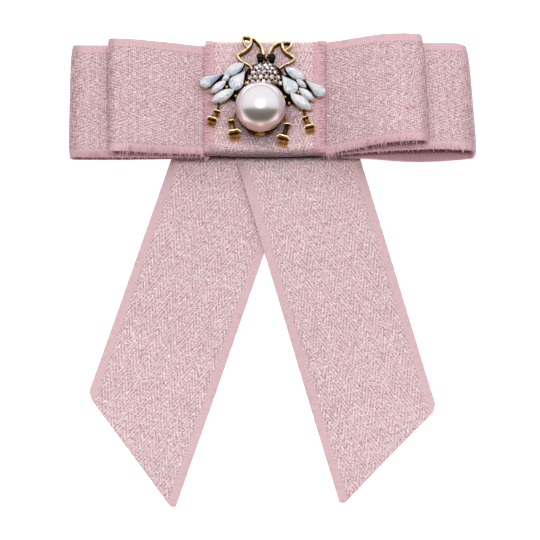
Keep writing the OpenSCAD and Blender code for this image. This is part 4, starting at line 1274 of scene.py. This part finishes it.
opal = opalGlass()
opalStones = {}
for side, stones in wingStones.items():
    for i, stone in enumerate(stones, 1):
        opalStones["%s_wing_stone_%d" % (side, i)] = opalStone("%sOpalStone%d" % (side, i), stone, opal)
print("opal stones cut:", len(opalStones))


# foiled crystal: silvered back, so every facet mirrors light or dark;
# its colour in light and dark cells adds painted reflections
def foiledCrystal():
    material, add = newMaterial("foiledCrystal")
    fire = add("TexVoronoi", add("TexCoord").outputs["Object"], 1 / (0.5 * mm))
    shade = add("ValToRGB", add("SeparateColor", fire.outputs["Color"]), stops=(
        (0.0, "#4A414C"), (0.25, "#A0949F"), (0.45, "#E2D6E2"), (0.65, "#FFFDFF")))
    add("OutputMaterial", add("BsdfPrincipled", named={
        "Base Color": shade, "Metallic": 0.9, "Roughness": 0.07, "Coat Weight": 1.0, "Coat Roughness": 0.03}))
    return material


paveCrystals.data.materials.append(foiledCrystal())


# nickel plated steel, drawn along the bar: a soft grey gleam with fine lines
def nickelSteel():
    material, add = newMaterial("nickelPlatedSteel")
    lines = add("Mapping", add("TexCoord").outputs["Object"],
                named={"Scale": (1 / (5 * mm), 1 / (0.25 * mm), 1 / (0.25 * mm))})
    brushed = add("TexNoise", lines, 1.0, 3.0)
    add("OutputMaterial", add("BsdfPrincipled", named={
        "Base Color": add("ValToRGB", brushed, stops=((0.3, "#B4B2AE"), (0.7, "#D6D4CF"))), "Metallic": 1.0,
        "Roughness": add("MapRange", brushed, 0.0, 1.0, 0.2, 0.4),
        "Normal": add("Bump", named={"Strength": 0.1, "Distance": 0.02 * mm, "Height": brushed})}))
    return material


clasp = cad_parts["pin_clasp"].data
steel = nickelSteel()
for i in range(len(clasp.materials)):
    clasp.materials[i] = steel
print("pin finished")

# pieces on the one body, each listed with a slot that is not used and the node that it stands for, which is
# hidden
pieces = [(ribbons["rear"], "ribbon", "rear_loop"), (ribbons["front"], "ribbon", "front_loop"),
          (ribbons["band"], "ribbon", "knot_band"), (ribbons["left"], "ribbon", "left_tail"),
          (ribbons["right"], "ribbon", "right_tail"), (pearl, "pearl", "pearl"),
          (eyes["left"], "black_stone", "left_eye"), (eyes["right"], "black_stone", "right_eye"),
          (castFrame, "antique_gold", "insect_frame"), (paveCrystals, "crystal", "thorax_crystals")]
pieces += [(stone, "opal", node) for node, stone in opalStones.items()]
pieces += [(piece, "ribbon", None) for piece in (knotShadowCord, selvageCorner, *fringes.values())]
for piece, slot, node in pieces:
    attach(piece, "root")
    if node:
        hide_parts(node)
for side, tail in tails.items():
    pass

# white paper floor that fades to grey past the bow and glows near it: painted light that hides shadows;
# distances in metres
floorSet = {"under": 0.02, "size": 4, "middle": (0, -0.06, 0), "fade": (0.125, 0.20), "near": "#F7F6F6",
            "far": "#CBBDBA", "glow": 0.65}
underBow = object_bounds()[0][2] - floorSet["under"] * mm
deselectAll()
bpy.ops.mesh.primitive_plane_add(size=floorSet["size"], location=(0, 0, underBow))
floor = bpy.context.object
floor.name = "paleFloor"


def floorPaper():
    material, add = newMaterial("whitePaper")
    away = add("VectorMath", add("TexCoord").outputs["Object"], floorSet["middle"], operation="DISTANCE")
    fade = add("MapRange", away, *floorSet["fade"], interpolation_type="SMOOTHSTEP")
    add("OutputMaterial", add("BsdfPrincipled", named={
        "Base Color": add("Mix", fade, floorSet["near"], floorSet["far"], data_type="RGBA"), "Roughness": 0.9,
        "Specular IOR Level": 0.1, "Emission Color": "#FFFFFF",
        "Emission Strength": add("MapRange", fade, 0.0, 1.0, floorSet["glow"], 0.0)}))
    return material


floor.data.materials.append(floorPaper())

softbox = {"place": (0.0, -0.12, 1.20), "size": (0.55, 0.5), "power": 3.5, "aim": (0, -0.03, 0)}
lampData = bpy.data.lights.new("overheadSoftbox", "AREA")
lampData.shape = "RECTANGLE"
lampData.size, lampData.size_y = softbox["size"]
lampData.energy = softbox["power"]
lamp = bpy.data.objects.new("overheadSoftbox", lampData)
bpy.context.scene.collection.objects.link(lamp)
lamp.location = softbox["place"]
lamp.rotation_euler = (Vector(softbox["aim"]) - lamp.location).to_track_quat("-Z", "Y").to_euler()

# white tent over the table, open and dark in front where the photographer stands
tentSet = {"forward": (0, 0.966, 0.259), "upward": (0, -0.259, 0.966), "front": (-0.20, -0.06, 1.0, 0.0),
           "over": (0.24, 0.38), "widening": 0.26, "white": "#F4F2F3", "opening": "#4B4433", "strength": 1.05}
world = bpy.data.worlds.new("studio")
bpy.context.scene.world = world
world.use_nodes = True
add = nodeAdder(world.node_tree)
direction = add("TexCoord").outputs["Generated"]
forward = add("VectorMath", direction, tentSet["forward"], operation="DOT_PRODUCT")
upward = add("VectorMath", direction, tentSet["upward"], operation="DOT_PRODUCT")
inFront = add("MapRange", forward, *tentSet["front"], interpolation_type="SMOOTHSTEP")
sideways = add("Math", add("SeparateXYZ", direction), operation="ABSOLUTE")
widened = add("Math", sideways, tentSet["widening"], upward, operation="MULTIPLY_ADD")
overTable = add("MapRange", widened, *tentSet["over"], interpolation_type="SMOOTHSTEP")
opening = add("Math", inFront, overTable, operation="MULTIPLY")
tint = add("Mix", opening, tentSet["white"], tentSet["opening"], data_type="RGBA")
add("OutputWorld", add("Background", tint, tentSet["strength"]))
print("studio lit")
